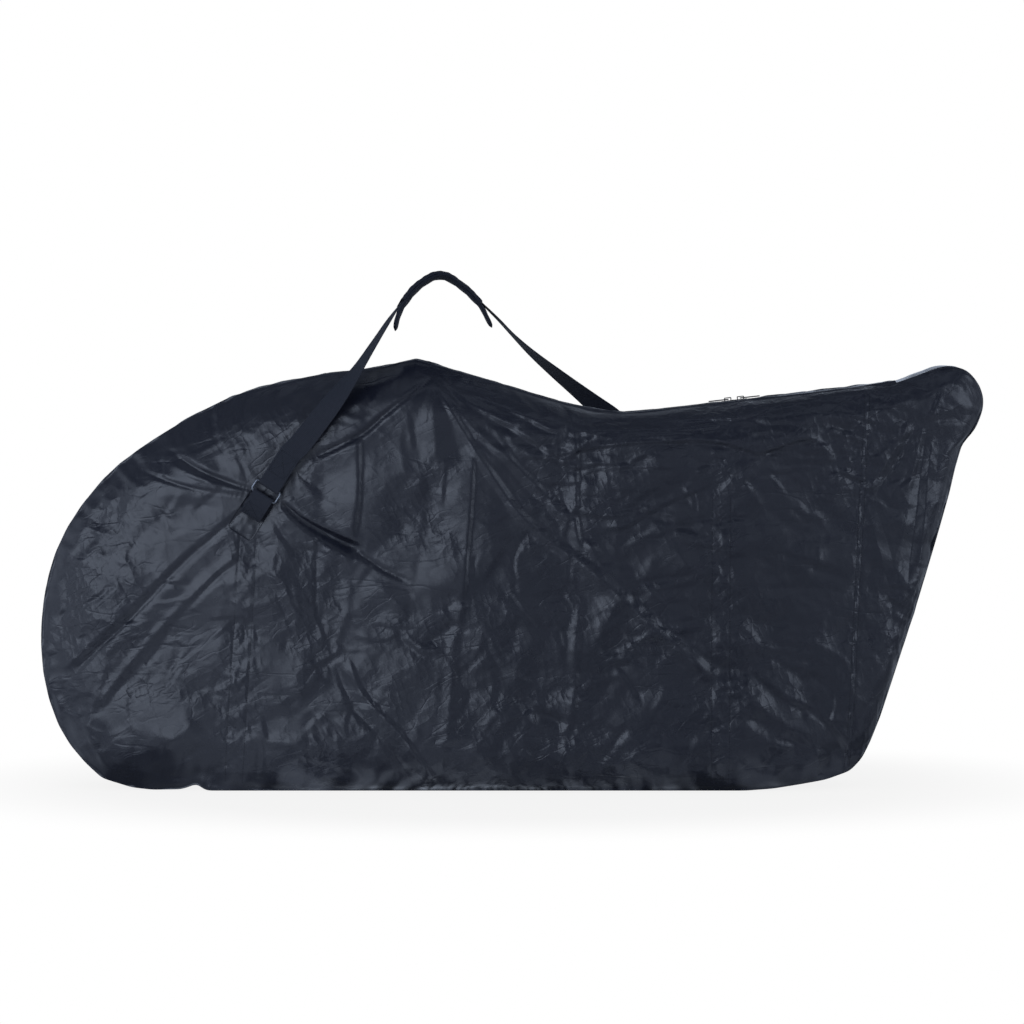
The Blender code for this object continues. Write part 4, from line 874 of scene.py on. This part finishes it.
def make_gussets():
    """Strips that join the two sides. The nose's is flat up to where the zip's pull lies."""
    for name, node, finish, seed, ripple, crown, level in (
        ("rear", "rear_gusset", NYLON, 1.0, 0.0026, 0.0008, -1.0),
        ("nose", "nose_gusset", NYLON, 2.0, 0.0020, 0.0010, 0.014),
        ("front", "front_gusset", NYLON, 3.0, 0.0026, 0.0008, -1.0),
        ("base", "base_panel", BASE_CLOTH, 4.0, 0.0007, -0.0004, -1.0),
    ):
        points, rows, maps = band_points(
            name, lambda half: EDGE - half, lambda half: half - EDGE, GUSSET_COLUMNS,
            gusset_lift(seed, ripple, crown, level),
        )
        points[:, 2] = np.maximum(points[:, 2], 0.0002)
        make_mesh(f"{node}_cloth", points, grid_faces(rows, GUSSET_COLUMNS), finish, node, maps)


def make_top_gussets():
    """Narrow strips on both sides of the zip, bunched away from its lips."""
    for side, name in BOTH_SIDES:
        def lift(arc, y, share, half):
            out = np.abs(y) - LIP
            away = ramp(out, 0.001, 0.012) * ramp(half - np.abs(y), 0.0, 0.006)
            a, b, seed = arc.ravel(), y.ravel(), 5.0 + side
            bunch = creased(a, b * 1.6, 0.012, seed, 0.0, 2.5) - creased(a, b, 0.022, seed + 2, 0.2, 2.5)
            return away * (0.32 * bunch.reshape(y.shape) + 0.0012) - 0.0002

        inner_and_rim = (lambda half: np.full_like(half, side * LIP), lambda half: side * (half - EDGE))
        points, rows, maps = band_points("zip", *inner_and_rim[::side], LIP_COLUMNS, lift)
        make_mesh(
            f"top_gusset_{name}_cloth", points, grid_faces(rows, LIP_COLUMNS), NYLON,
            f"top_gusset_{name}", maps,
        )


make_gussets()
make_top_gussets()
NEAR_SKIN = surface_of([SIDES["near_main_cloth"], SIDES["near_front_cloth"]])
FAR_SKIN = surface_of([SIDES["far_main_cloth"], SIDES["far_front_cloth"]])


def skin_depth(x, z, far):
    """Depth of the folded side at a place, or None beyond its rim."""
    skin, side = (FAR_SKIN, 1) if far else (NEAR_SKIN, -1)
    hit = skin.ray_cast(Vector((x, side * 0.3, z)), Vector((0, -side, 0)))[0]
    return hit.y if hit else None


def marks_along(points):
    """Length walked at each point of a line."""
    return np.concatenate([[0], np.cumsum(np.linalg.norm(points[1:] - points[:-1], axis=1))])


def sweep(name, path, section, finish, node, sizes=None):
    """Solid along a path of (point, side). section is its lower edge, then its upper edge back."""
    centres = np.array([tuple(point) for point, _ in path])
    sides = np.array([tuple(side) for _, side in path])
    ways = np.gradient(centres, axis=0)
    ways /= np.linalg.norm(ways, axis=1)[:, None]
    sides -= ways * (sides * ways).sum(1)[:, None]
    sides /= np.linalg.norm(sides, axis=1)[:, None]
    faces_out = np.cross(ways, sides)
    section = np.array(section)
    sizes = np.ones((len(path), 2)) if sizes is None else np.asarray(sizes)
    across = section[:, 0][:, None] * sizes[:, 0]
    out = section[:, 1][:, None] * sizes[:, 1]
    points = centres + across[..., None] * sides + out[..., None] * faces_out
    count, length = len(section), len(path)
    caps = []
    for end in (0, length - 1):
        for i in range(count // 2 - 1):
            ring = (i, i + 1, count - 2 - i, count - 1 - i)
            caps.append([item * length + end for item in ring])
    along = np.broadcast_to(marks_along(centres), across.shape).ravel()
    made = make_mesh(
        name, points.reshape(-1, 3), np.vstack([grid_faces(count, length, closed=True), caps]), finish,
        node, {"weave": np.column_stack([along, across.ravel()])},
    )
    bm = bmesh.new()
    bm.from_mesh(made.data)
    bmesh.ops.recalc_face_normals(bm, faces=bm.faces)
    bm.to_mesh(made.data)
    bm.free()
    return made


def flat_section(width, thickness, edge=0.35):
    """Webbing: flat with rounded, slightly raised edges."""
    rows = ((-1, edge), (-0.985, 0.85), (-0.95, 1.0), (-0.88, 0.93), (-0.4, 0.93), (0, 0.93))
    rows += tuple((-x, high) for x, high in reversed(rows[:-1]))
    lower = [(x * width / 2, -high * thickness / 2) for x, high in rows]
    return lower + [(x, -z) for x, z in reversed(lower)]


def pad_section(width, thickness, power=3.0):
    """Crowned cushion, thin at its bound edges."""
    lower = []
    for step in range(17):
        x = -math.cos(math.pi * step / 16)
        high = 0.22 + 0.78 * (1 - abs(x) ** power) ** 0.7
        lower.append((x * width / 2, -high * thickness / 2))
    return lower + [(x, -z) for x, z in reversed(lower)]


def follow_skin(name, rows, side, outs, finish, node):
    """Thin piece that follows the folded side. rows are rows of places; outs are its two faces."""
    count, columns = len(rows), len(rows[0])
    flat = np.vstack([
        [(at.x, skin_depth(at.x, at.z, side > 0) + side * out, at.z) for row in rows for at in row]
        for out in outs
    ])
    top = grid_faces(count, columns)
    edge = [i * columns for i in range(count)]
    edge += [(count - 1) * columns + j for j in range(1, columns)]
    edge += [i * columns + columns - 1 for i in range(count - 2, -1, -1)]
    edge += list(range(columns - 2, 0, -1))
    under = count * columns
    rim = [[a, b, b + under, a + under] for a, b in zip(edge, edge[1:] + edge[:1])]
    faces = np.vstack([top, top[:, ::-1] + under, rim])
    make_mesh(name, flat, faces, finish, node, {"weave": flat[:, [2, 0]]})


# Pieces inside the bag: depths of a tape's two faces behind the folds, and the seams' piping
TAPE_FACES = (-0.0044, -0.0058)
BINDING_RADIUS = 0.0019
BINDING_INSET = 0.0052


def make_load_tapes():
    """Tapes inside the sides, a little behind the folds, and across the base."""
    for name, shares in (("rear", REAR_TAPE), ("front", FRONT_TAPE)):
        high, low = (spot(pair) for pair in shares)
        end = low + Vector((0, 0, 0.014))
        rows = [
            [high.lerp(end, i / 89) + Vector(((j / 6 - 0.5) * TAPE_WIDTH, 0, 0)) for j in range(7)]
            for i in range(90)
        ]
        for side, which in BOTH_SIDES:
            node = f"load_tape_{name}_{which}"
            follow_skin(f"{node}_webbing", rows, side, TAPE_FACES, WEBBING, node)
        node = f"load_tape_{name}_base"
        near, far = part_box(node)
        path = [
            (Vector((low.x, near[1] + (far[1] - near[1]) * i / 12, (near[2] + far[2]) / 2)),
             Vector((1, 0, 0)))
            for i in range(13)
        ]
        sweep(f"{node}_webbing", path, flat_section(TAPE_WIDTH, 0.0014), WEBBING, node)


def make_base_foam():
    """Foam pad on the base, with rounded corners."""
    low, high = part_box("base_pad")
    length, width, thick = (high[k] - low[k] for k in range(3))
    corner = 0.020
    path, sizes = [], []
    for step in range(41):
        share = step / 40
        from_end = min(share, 1 - share) * length
        cut = corner - math.sqrt(max(corner ** 2 - max(corner - from_end, 0) ** 2, 0))
        path.append((Vector((low[0] + share * length, 0, (low[2] + high[2]) / 2)), Vector((0, 1, 0))))
        sizes.append((1 - 2 * cut / width, 1))
    sweep("base_foam", path, flat_section(width, thick, 0.6), FOAM, "base_pad", sizes)


def make_pocket():
    """Wheel pocket on the far side: a wall down from its rim, and a slightly slack face."""
    low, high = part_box("wheel_pocket")
    middle, radius = (low[0] + high[0]) / 2, (high[0] - low[0]) / 2
    top, bottom, near, far = high[2], low[2], low[1] + 0.0006, high[1]
    drop = min(radius, top - bottom)
    line = [(middle + radius, top - (top - bottom - drop) * i / 6) for i in range(6)]
    for i in range(49):
        angle = -math.pi * i / 48
        line.append((middle + radius * math.cos(angle), bottom + drop + drop * math.sin(angle)))
    line += [(middle - radius, bottom + drop + (top - bottom - drop) * (i + 1) / 6) for i in range(6)]
    rows, columns, wall = len(line), 26, 8
    grid = np.zeros((rows, columns, 3))
    for i, (x, z) in enumerate(line):
        centre = (middle, max(z, bottom + drop))
        back = min(far, skin_depth(x, z, True) - 0.0034)
        for j in range(columns):
            if j < wall:
                grid[i, j] = (x, back + (near - back) * j / wall, z)
                continue
            share = ((j - wall) / (columns - wall - 1)) ** 1.1
            px, pz = x + (centre[0] - x) * share, z + (centre[1] - z) * share
            droop = 0.004 * math.sin(math.pi * share) * math.sin(px * 31 + pz * 17)
            grid[i, j] = (px, near + droop + 0.002, pz)
    make_mesh("wheel_pocket_cloth", grid.reshape(-1, 3), grid_faces(rows, columns), LINING, "wheel_pocket")


def make_bindings():
    """Piping round the inner seam of each side."""
    for side, name in BOTH_SIDES:
        curve = bpy.data.curves.new(f"seam_binding_{name}_cloth", "CURVE")
        curve.dimensions = "3D"
        curve.bevel_depth = BINDING_RADIUS
        curve.bevel_resolution = 1
        spline = curve.splines.new("POLY")
        picked = range(0, len(STATIONS), 3)
        spline.points.add(len(picked) - 1)
        spline.use_cyclic_u = True
        for point, i in zip(spline.points, picked):
            x, z = STATIONS[i, :2] - NORMALS[i] * BINDING_INSET
            point.co = (x, side * (STATIONS[i, 2] - BINDING_INSET), z, 1)
        add_piece(curve.name, curve, LINING, f"seam_binding_{name}")


def make_zip_tapes():
    outer, inner = ZIP_TAPE_EDGES
    for side, name in BOTH_SIDES:
        points, rows, _ = band_points(
            "zip", lambda half: np.full_like(half, side * outer),
            lambda half: np.full_like(half, side * inner), 5,
            lambda arc, y, share, half: y * 0 - ZIP_TAPE_DEPTH,
        )
        faces = grid_faces(rows, 5, flip=side < 0)
        make_mesh(f"zip_tape_{name}_cloth", points, faces, TAPE_CLOTH, f"zip_tape_{name}")


# Strap, tabs, patches and pad
STRAP_WIDTH = 0.040
STRAP_THICKNESS = 0.0020
LAYER_GAP = 0.0004
PATCH_THICKNESS = 0.0010
RING_WIRE = 0.0040
RING_BAR_SPACING = 0.021
RING_PLAY = 0.0022
RING_SLACK = 0.0012
TAB_LENGTH = 0.044
LOOP_CLOSING = 0.020
NEAR_TAIL = 0.070
FAR_TAIL = 0.205
GAP = 0.0003
# Each side's anchor: share of length and height, and lean of the strap there
ANCHORS = {-1: ((0.240, 0.688), math.radians(33.0)), 1: ((0.713, 0.672), math.radians(-50.4))}
# The free strap in the photograph: column, row, depth, degrees that its face turns from upward
STRAP_ROUTE = (
    (294.0, 451.7, -0.1280, -90), (314.0, 426.0, -0.1300, -78), (334.5, 399.5, -0.1310, -60),
    (356.0, 370.5, -0.1180, -30), (375.0, 341.0, -0.0960, -18), (386.5, 323.0, -0.0780, -13),
    (395.0, 310.5, -0.0680, -7), (404.0, 298.2, -0.0570, 0), (412.0, 288.6, -0.0470, 0),
    (421.5, 280.6, -0.0350, 0), (432.0, 274.9, -0.0220, 0), (441.0, 273.6, -0.0110, 0),
    (450.0, 276.4, 0.0000, 0), (459.5, 282.4, 0.0110, 0), (469.5, 290.4, 0.0230, 0),
    (479.0, 300.2, 0.0340, 0), (486.0, 307.6, 0.0420, 3), (498.0, 319.6, 0.0560, 5),
    (512.0, 334.4, 0.0720, 7), (531.5, 353.0, 0.0910, 17), (556.0, 373.5, 0.1140, 30),
    (579.0, 392.0, 0.1300, 43), (598.0, 407.5, 0.1330, 62), (616.0, 421.5, 0.1290, 90),
)
PAD_COLUMNS = (399.5, 480.5)
PAD_LEFT_TIP = ((394.6, 329.5, -0.069), (396.0, 321.5, -0.067), (398.8, 312.5, -0.0635))
PAD_RIGHT_TIP = ((481.2, 306.5, 0.037), (485.6, 316.2, 0.043), (490.4, 325.6, 0.048))
PAD_WIDTH = 0.064
PAD_THICKNESS = 0.0088
PAD_STEP = 0.004
PAD_GAP = 0.0006
COVER_THICKNESS = 0.0014


def loop_radius(play):
    return RING_WIRE / 2 + GAP + play + STRAP_THICKNESS / 2


def bar_depth():
    return BAG_DEPTH / 2 + GAP + loop_radius(RING_PLAY) + STRAP_THICKNESS / 2


def anchor(side):
    """Middle of the ring's lower bar, the direction to the strap, and its width direction."""
    shares, lean = ANCHORS[side]
    way = Vector((math.sin(lean), 0, math.cos(lean)))
    return spot(shares, side * bar_depth()), way, Vector((way.z, 0, -way.x))


def half_loop(centre, way, out, radius, steps=16):
    """Points round a bar, from its side nearest the bag to its outer side."""
    points = []
    for step in range(steps + 1):
        angle = math.pi * step / steps
        points.append(centre + way * (radius * math.sin(angle)) - out * (radius * math.cos(angle)))
    return points


def strap_end(side, tail):
    """Webbing from its end round the ring to where its layers meet, and where its tail ends."""
    tab_bar, way, width = anchor(side)
    centre = tab_bar + way * RING_BAR_SPACING
    out = Vector((0, side, 0))
    apart = STRAP_THICKNESS + LAYER_GAP
    back, main = centre - out * (apart / 2), centre + out * (apart / 2)
    points = [back + way * tail, back + way * LOOP_CLOSING]
    points += half_loop(centre + way * RING_SLACK, -way, out, loop_radius(RING_PLAY))
    points.append(main + way * LOOP_CLOSING)
    return points, width, main + way * tail


def even_path(points, values, step):
    """Points and values at even steps along a line."""
    points, values = np.array([tuple(p) for p in points]), np.asarray(values, float)
    marks = marks_along(points)
    places = np.linspace(0, marks[-1], max(round(marks[-1] / step), 2) + 1)
    spread = np.column_stack([np.interp(places, marks, points[:, k]) for k in range(3)])
    return spread, np.interp(places, marks, values)


def soften(points, rounds):
    for _ in range(rounds):
        points[1:-1] = (points[:-2] + 2 * points[1:-1] + points[2:]) / 4


def way_at(points, i):
    return Vector(points[min(i + 1, len(points) - 1)] - points[max(i - 1, 0)]).normalized()


def level_side(way):
    """Direction across the bag, square to a way."""
    return (Vector((0, 1, 0)) - way * way.y).normalized()


def free_strap(start, end):
    """Free part of the strap: even points, and the turn of its face in degrees."""
    fine = smooth_line([(c, r, 1000 * d, t) for c, r, d, t in STRAP_ROUTE], 6)
    points = [seen(c, r, d / 1000) for c, r, d, _ in fine]
    points[0], points[-1] = start, end
    spread, turns = even_path(points, fine[:, 3], 0.005)
    soften(spread, 3)
    return [Vector(point) for point in spread], turns


def make_strap():
    near_points, near_width, start = strap_end(-1, NEAR_TAIL)
    far_points, far_width, end = strap_end(1, FAR_TAIL)
    free, turns = free_strap(start, end)
    path, faces = [(point, -near_width) for point in near_points], []
    for step in range(1, 9):
        path.append((near_points[-1].lerp(free[0], step / 9), -near_width))
    for i, point in enumerate(free):
        way, angle = way_at(free, i), math.radians(turns[i])
        edge = level_side(way)
        faces.append(way.cross(edge) * math.cos(angle) + edge * math.sin(angle))
        path.append((point, way.cross(faces[-1]).normalized()))
    for step in range(1, 30):
        path.append((free[-1].lerp(far_points[-1], step / 30), far_width))
    path += [(point, far_width) for point in reversed(far_points)]
    even = [path[0]]
    for point, side in path[1:]:
        side = side if side.dot(even[-1][1]) > 0 else -side
        if (point - even[-1][0]).length > 1e-5:
            even.append((point, side))
    section = flat_section(STRAP_WIDTH, STRAP_THICKNESS)
    sweep("shoulder_strap_webbing", even, section, WEBBING, "shoulder_strap")
    return free, faces


def make_pad(free, faces, picked):
    """Pad under the strap, its two tips hanging free."""
    under = STRAP_THICKNESS / 2 + PAD_GAP + PAD_THICKNESS / 2
    line = [seen(*item) for item in PAD_LEFT_TIP]
    line += [free[i] - faces[i] * under for i in picked]
    line += [seen(*item) for item in PAD_RIGHT_TIP]
    spread, _ = even_path(line, np.zeros(len(line)), PAD_STEP)
    soften(spread, 4)
    path, sizes = [], []
    for i, point in enumerate(spread):
        path.append((Vector(point), level_side(way_at(spread, i))))
        from_end = min(i, len(spread) - 1 - i) * PAD_STEP
        wide = 0.55 + 0.45 * math.sqrt(1 - max(1 - from_end / 0.020, 0) ** 2)
        thick = 0.35 + 0.65 * math.sqrt(1 - max(1 - from_end / 0.012, 0) ** 2)
        thick *= 1 + 0.10 * math.sin(i * 0.9) * ramp(from_end, 0.01, 0.03)
        sizes.append((wide, thick))
    section = pad_section(PAD_WIDTH, PAD_THICKNESS)
    pad = sweep("shoulder_pad_cushion", path, section, PAD_CLOTH, "shoulder_pad", sizes)


def make_cover(free, faces, picked):
    """Cover sewn over the strap, drawn down to the pad on both sides of it."""
    over = STRAP_THICKNESS / 2 + PAD_GAP + COVER_THICKNESS / 2
    level = []
    for step in range(17):
        x = (step / 16 * 2 - 1) * PAD_WIDTH / 2 * 0.985
        level.append((x, -float(ramp(abs(x), 0.0205, 0.0295)) * 0.0060))
    lower = [(x, z - COVER_THICKNESS / 2) for x, z in level]
    section = lower + [(x, z + COVER_THICKNESS) for x, z in reversed(lower)]
    cover = []
    for i in picked[1:-1]:
        wave = 0.0004 * math.sin(i * 1.9) + 0.0003 * math.sin(i * 0.7)
        cover.append((free[i] + faces[i] * (over + wave + 0.0004), level_side(way_at(free, i))))
    sweep("pad_cover_cloth", cover, section, PAD_CLOTH, "pad_cover")


def make_tabs():
    """Webbing tab through each ring, and the patch sewn below it."""
    for side, name in BOTH_SIDES:
        centre, way, width = anchor(side)
        out = Vector((0, side, 0))
        on_patch = BAG_DEPTH / 2 + GAP + PATCH_THICKNESS + GAP + STRAP_THICKNESS / 2
        inner = centre - out * (bar_depth() - on_patch)
        sewn = inner + out * (STRAP_THICKNESS + LAYER_GAP)
        points = [inner - way * TAB_LENGTH, inner - way * LOOP_CLOSING]
        points += half_loop(centre, way, out, loop_radius(0))
        points += [sewn - way * LOOP_CLOSING, sewn - way * TAB_LENGTH]
        path, section = [(point, width) for point in points], flat_section(STRAP_WIDTH, STRAP_THICKNESS)
        sweep(f"strap_tab_{name}_webbing", path, section, WEBBING, f"strap_tab_{name}")
        middle = centre - way * (0.040 + STRAP_THICKNESS)
        rows = []
        for step in range(33):
            along = (step / 32 - 0.5) * 0.080
            corner = max(abs(along) - 0.034, 0) / 0.006
            half = 0.019 + 0.006 * math.sqrt(max(1 - corner ** 2, 0))
            rows.append([middle + way * along + width * (half * (i / 10 - 1)) for i in range(21)])
        outs = (PATCH_THICKNESS * 0.9, 0.0001)
        follow_skin(f"patch_{name}_cloth", rows, side, outs, PATCH_CLOTH, f"patch_{name}")


# Stitches
STITCH = 0.0030
STITCH_PITCH = 0.0043
THREAD_RADIUS = 0.00028
# Boxes of stitches: from and to along the strap's way, and half the width
TAB_BOX = (-0.041, -0.0215, 0.0165)
STRAP_BOX = (0.024, 0.066, 0.0165)
PATCH_BOX = (-0.079, -0.047, 0.0215)
# Corners of a stitch's quads, for its four rings of four points
STITCH_FACES = [
    [4 * ring + i, 4 * ring + (i + 1) % 4, 4 * ring + 4 + (i + 1) % 4, 4 * ring + 4 + i]
    for ring in range(3)
    for i in range(4)
] + [[3, 2, 1, 0], [12, 13, 14, 15]]


def stitch_points(a, b, out):
    """One stitch from end to end, a small rounded bar that stands out of the cloth."""
    side = (b - a).normalized().cross(out).normalized() * THREAD_RADIUS
    rise = out * THREAD_RADIUS
    points = []
    for share, size, lift in ((0, 0.3, -0.4), (0.2, 1, 0.9), (0.8, 1, 0.9), (1, 0.3, -0.4)):
        centre = a.lerp(b, share) + rise * lift
        for across, up in ((1, 0), (0, 1), (-1, 0), (0, -1)):
            points.append(tuple(centre + side * (across * size) + rise * (up * size)))
    return points


def make_stitches(name, rows, side):
    """rows are (start, end, depth) with depth a function of x and z, or a number."""
    points, faces = [], []
    for start, end, depth in rows:
        length = (end - start).length
        for i in range(int(length / STITCH_PITCH)):
            ends = []
            for place in (i * STITCH_PITCH, i * STITCH_PITCH + STITCH):
                at = start.lerp(end, place / length)
                y = depth(at.x, at.z) if callable(depth) else depth
                ends.append(None if y is None else Vector((at.x, y, at.z)))
            if None in ends or abs(ends[0].y - ends[1].y) > STITCH:
                continue
            first = len(points)
            points += stitch_points(*ends, Vector((0, side, 0)))
            faces += [[first + item for item in face] for face in STITCH_FACES]
    make_mesh(name, points, faces, THREAD)


def box_rows(centre, way, width, low, high, half, depth):
    """Four sewn sides of a box and its cross."""
    corners = [
        centre + way * along + width * across
        for along, across in ((low, -half), (high, -half), (high, half), (low, half))
    ]
    pairs = ((0, 1), (1, 2), (2, 3), (3, 0), (0, 2), (1, 3))
    return [(corners[a], corners[b], depth) for a, b in pairs]


def make_seams():
    """Stitches along tapes and panel seam, through each tab and patch, and through the near strap."""
    on_tab = BAG_DEPTH / 2 + 2 * GAP + PATCH_THICKNESS + 2 * STRAP_THICKNESS + LAYER_GAP
    on_strap = bar_depth() + (STRAP_THICKNESS + LAYER_GAP) / 2 + STRAP_THICKNESS / 2
    for side, name in BOTH_SIDES:
        def on_cloth(x, z):
            return skin_depth(x, z, side > 0)

        def on_patch(x, z):
            return skin_depth(x, z, side > 0) + side * PATCH_THICKNESS

        rows = []
        for shares, shift in SEWN_LINES:
            high, low = (spot(pair) for pair in shares)
            way = (low - high).normalized()
            across = Vector((-way.z, 0, way.x)) * shift
            rows.append((high + across + way * 0.012, low + across - way * 0.012, on_cloth))
        centre, way, width = anchor(side)
        rows += box_rows(centre, way, width, *TAB_BOX, side * on_tab)
        if side < 0:
            upper = centre + way * RING_BAR_SPACING
            rows += box_rows(upper, way, width, *STRAP_BOX, side * on_strap)
        rows += box_rows(centre, way, width, *PATCH_BOX, on_patch)[:4]
        make_stitches(f"stitches_{name}", rows, side)


make_load_tapes()
make_base_foam()
make_pocket()
make_bindings()
make_zip_tapes()
FREE, FACES = make_strap()
PAD_START, PAD_END = (seen(column, 300, 0).x for column in PAD_COLUMNS)
UNDER_PAD = [i for i, point in enumerate(FREE) if PAD_START < point.x < PAD_END and point.z > 0.82]
make_pad(FREE, FACES, UNDER_PAD)
make_cover(FREE, FACES, UNDER_PAD)
make_tabs()
make_seams()

# Camera, lights and floor
ROOM_TINT = (0.72, 0.82, 1.0)
# Lamps: place, aim, width and height, watts
LAMPS = {
    "key": ((-2.3, -3.4, 1.05), (-0.25, 0, 0.42), (2.9, 2.4), 52),
    "left": ((-3.6, -0.5, 0.9), (-0.3, 0, 0.4), (2.4, 1.8), 8),
    "top": ((0.3, -0.9, 3.2), (0.1, 0, 0.3), (3.0, 0.8), 3),
    "back": ((2.0, 3.5, 1.2), (0.1, 0, 0.4), (2.9, 2.4), 22),
    "side": ((3.4, -2.0, 1.2), (0.4, 0, 0.4), (1.8, 2.2), 24),
}
FLOOR_REACH = 14.0
# Strength that the cloth sees: the room's even light, its mirrored left end and middle, the floor's
EVEN_LIGHT = 0.50
ROOM_LIGHT = (0.70, 0.42)
FLOOR_LIGHT = (0.74, 0.46)


def make_camera():
    camera = bpy.data.objects.new("camera", bpy.data.cameras.new("camera"))
    bpy.context.scene.collection.objects.link(camera)
    camera.location = EYE
    camera.rotation_euler = (-BACK).to_track_quat("-Z", "Y").to_euler()
    camera.data.sensor_width = SENSOR
    camera.data.lens = SENSOR * EYE_DISTANCE / (PICTURE_PIXELS * PIXEL)
    bpy.context.scene.camera = camera
    bpy.context.scene.view_settings.view_transform = "Standard"


def make_lamps():
    for name, (place, aim, size, watts) in LAMPS.items():
        data = bpy.data.lights.new(name, "AREA")
        data.shape = "RECTANGLE"
        data.size, data.size_y = size
        data.color = ROOM_TINT
        data.energy = watts
        lamp = bpy.data.objects.new(name, data)
        bpy.context.scene.collection.objects.link(lamp)
        lamp.location = place
        lamp.rotation_euler = (Vector(aim) - Vector(place)).to_track_quat("-Z", "Y").to_euler()


def room_left(tree, along, near, far):
    """Light that the cloth mirrors from the left, fading to the right."""
    return ranged(tree, along, -0.30, -0.04, near, far, smooth=True)


def room_panels(tree, direction):
    """Uneven light of the room, as of panels and windows."""
    return ranged(tree, cloud(tree, direction, 5.5, 1.0), 0.38, 0.62, 0.20, 1.75)


def make_world():
    """White to the camera, even to the cloth's diffuse light, uneven where the cloth mirrors it."""
    world = bpy.data.worlds.new("world")
    world.use_nodes = True
    bpy.context.scene.world = world
    tree = world.node_tree
    path = add_node(tree, "LightPath").outputs
    direction = add_node(tree, "TexCoord").outputs["Generated"]
    way = add_node(tree, "SeparateXYZ", {0: direction}).outputs
    high = ranged(tree, way["Z"], 0.0, 0.85, 1.0, 0.42, smooth=True)
    right = ranged(tree, way["X"], 0.20, 0.42, 0.0, 0.24, smooth=True)
    sides = calc(tree, "ADD", room_left(tree, way["X"], *ROOM_LIGHT), right)
    room = calc(tree, "MULTIPLY", calc(tree, "MULTIPLY", sides, high), room_panels(tree, direction))
    mirrored = calc(tree, "MULTIPLY", path["Is Glossy Ray"], room)
    open_view = calc(tree, "MAXIMUM", path["Is Camera Ray"], path["Is Transmission Ray"])
    spread = calc(tree, "MULTIPLY", path["Is Diffuse Ray"], EVEN_LIGHT)
    level = calc(tree, "MAXIMUM", calc(tree, "MAXIMUM", open_view, mirrored), spread)
    inputs = {0: open_view, 6: (*ROOM_TINT, 1), 7: (1, 1, 1, 1)}
    tint = add_node(tree, "Mix", inputs, data_type="RGBA")
    shader = tree.nodes["Background"]
    tree.links.new(tint.outputs[2], shader.inputs["Color"])
    tree.links.new(level, shader.inputs["Strength"])


def make_floor():
    """White floor that keeps the shadow near the bag, and is uneven where the cloth mirrors it."""
    mesh = bpy.data.meshes.new("floor")
    corners = [(x * FLOOR_REACH, y * FLOOR_REACH, 0) for x, y in ((-1, -1), (1, -1), (1, 1), (-1, 1))]
    mesh.from_pydata(corners, [], [(0, 1, 2, 3)])
    floor = bpy.data.objects.new("floor", mesh)
    floor.location.z = -0.0006
    bpy.context.scene.collection.objects.link(floor)
    made, tree, shader = new_material("floor", (0.95, 0.84, 0.69), 0.9, specular=0.0)
    place = object_place(tree)
    path = add_node(tree, "LightPath").outputs

    length = vector_calc(tree, "LENGTH", mapped(tree, place, (0.9, 1.7, 1)))
    far = ranged(tree, length, 0.6, 1.1, 0.85, 1.0, smooth=True)
    amount = calc(tree, "MULTIPLY", far, path["Is Camera Ray"])
    glow = add_node(tree, "Emission", {"Color": (1, 1, 1, 1), "Strength": 1.0})
    mix = add_node(tree, "MixShader", {0: amount, 1: shader.outputs[0], 2: glow.outputs[0]})

    way = add_node(tree, "SeparateXYZ", {0: vector_calc(tree, "NORMALIZE", place)}).outputs
    below = calc(tree, "DIVIDE", -0.5, vector_calc(tree, "LENGTH", place))
    toward = add_node(tree, "CombineXYZ", {0: way["X"], 1: way["Y"], 2: below}).outputs[0]
    left = room_left(tree, way["X"], *FLOOR_LIGHT)
    mirrored = calc(tree, "MULTIPLY", left, room_panels(tree, toward))
    dim = add_node(tree, "Emission", {"Color": (*ROOM_TINT, 1), "Strength": mirrored})
    last = add_node(tree, "MixShader", {0: path["Is Glossy Ray"], 1: mix.outputs[0], 2: dim.outputs[0]})
    tree.links.new(last.outputs[0], tree.nodes["Material Output"].inputs["Surface"])
    mesh.materials.append(made)


def finish_nodes():
    """Materials of the hard pieces, which are the CAD's own nodes."""
    for name, node in NODES.items():
        if name.startswith(("slider_", "pull_")):
            finish = ZIP_METAL
        elif name.startswith("ring_"):
            finish = SHADED_STEEL
        elif name.startswith(("zip_teeth", "zip_stop", "adjuster")):
            finish = PLASTIC
        else:
            continue
        node.data.materials.clear()
        node.data.materials.append(finish)


make_camera()
make_lamps()
make_world()
make_floor()
finish_nodes()
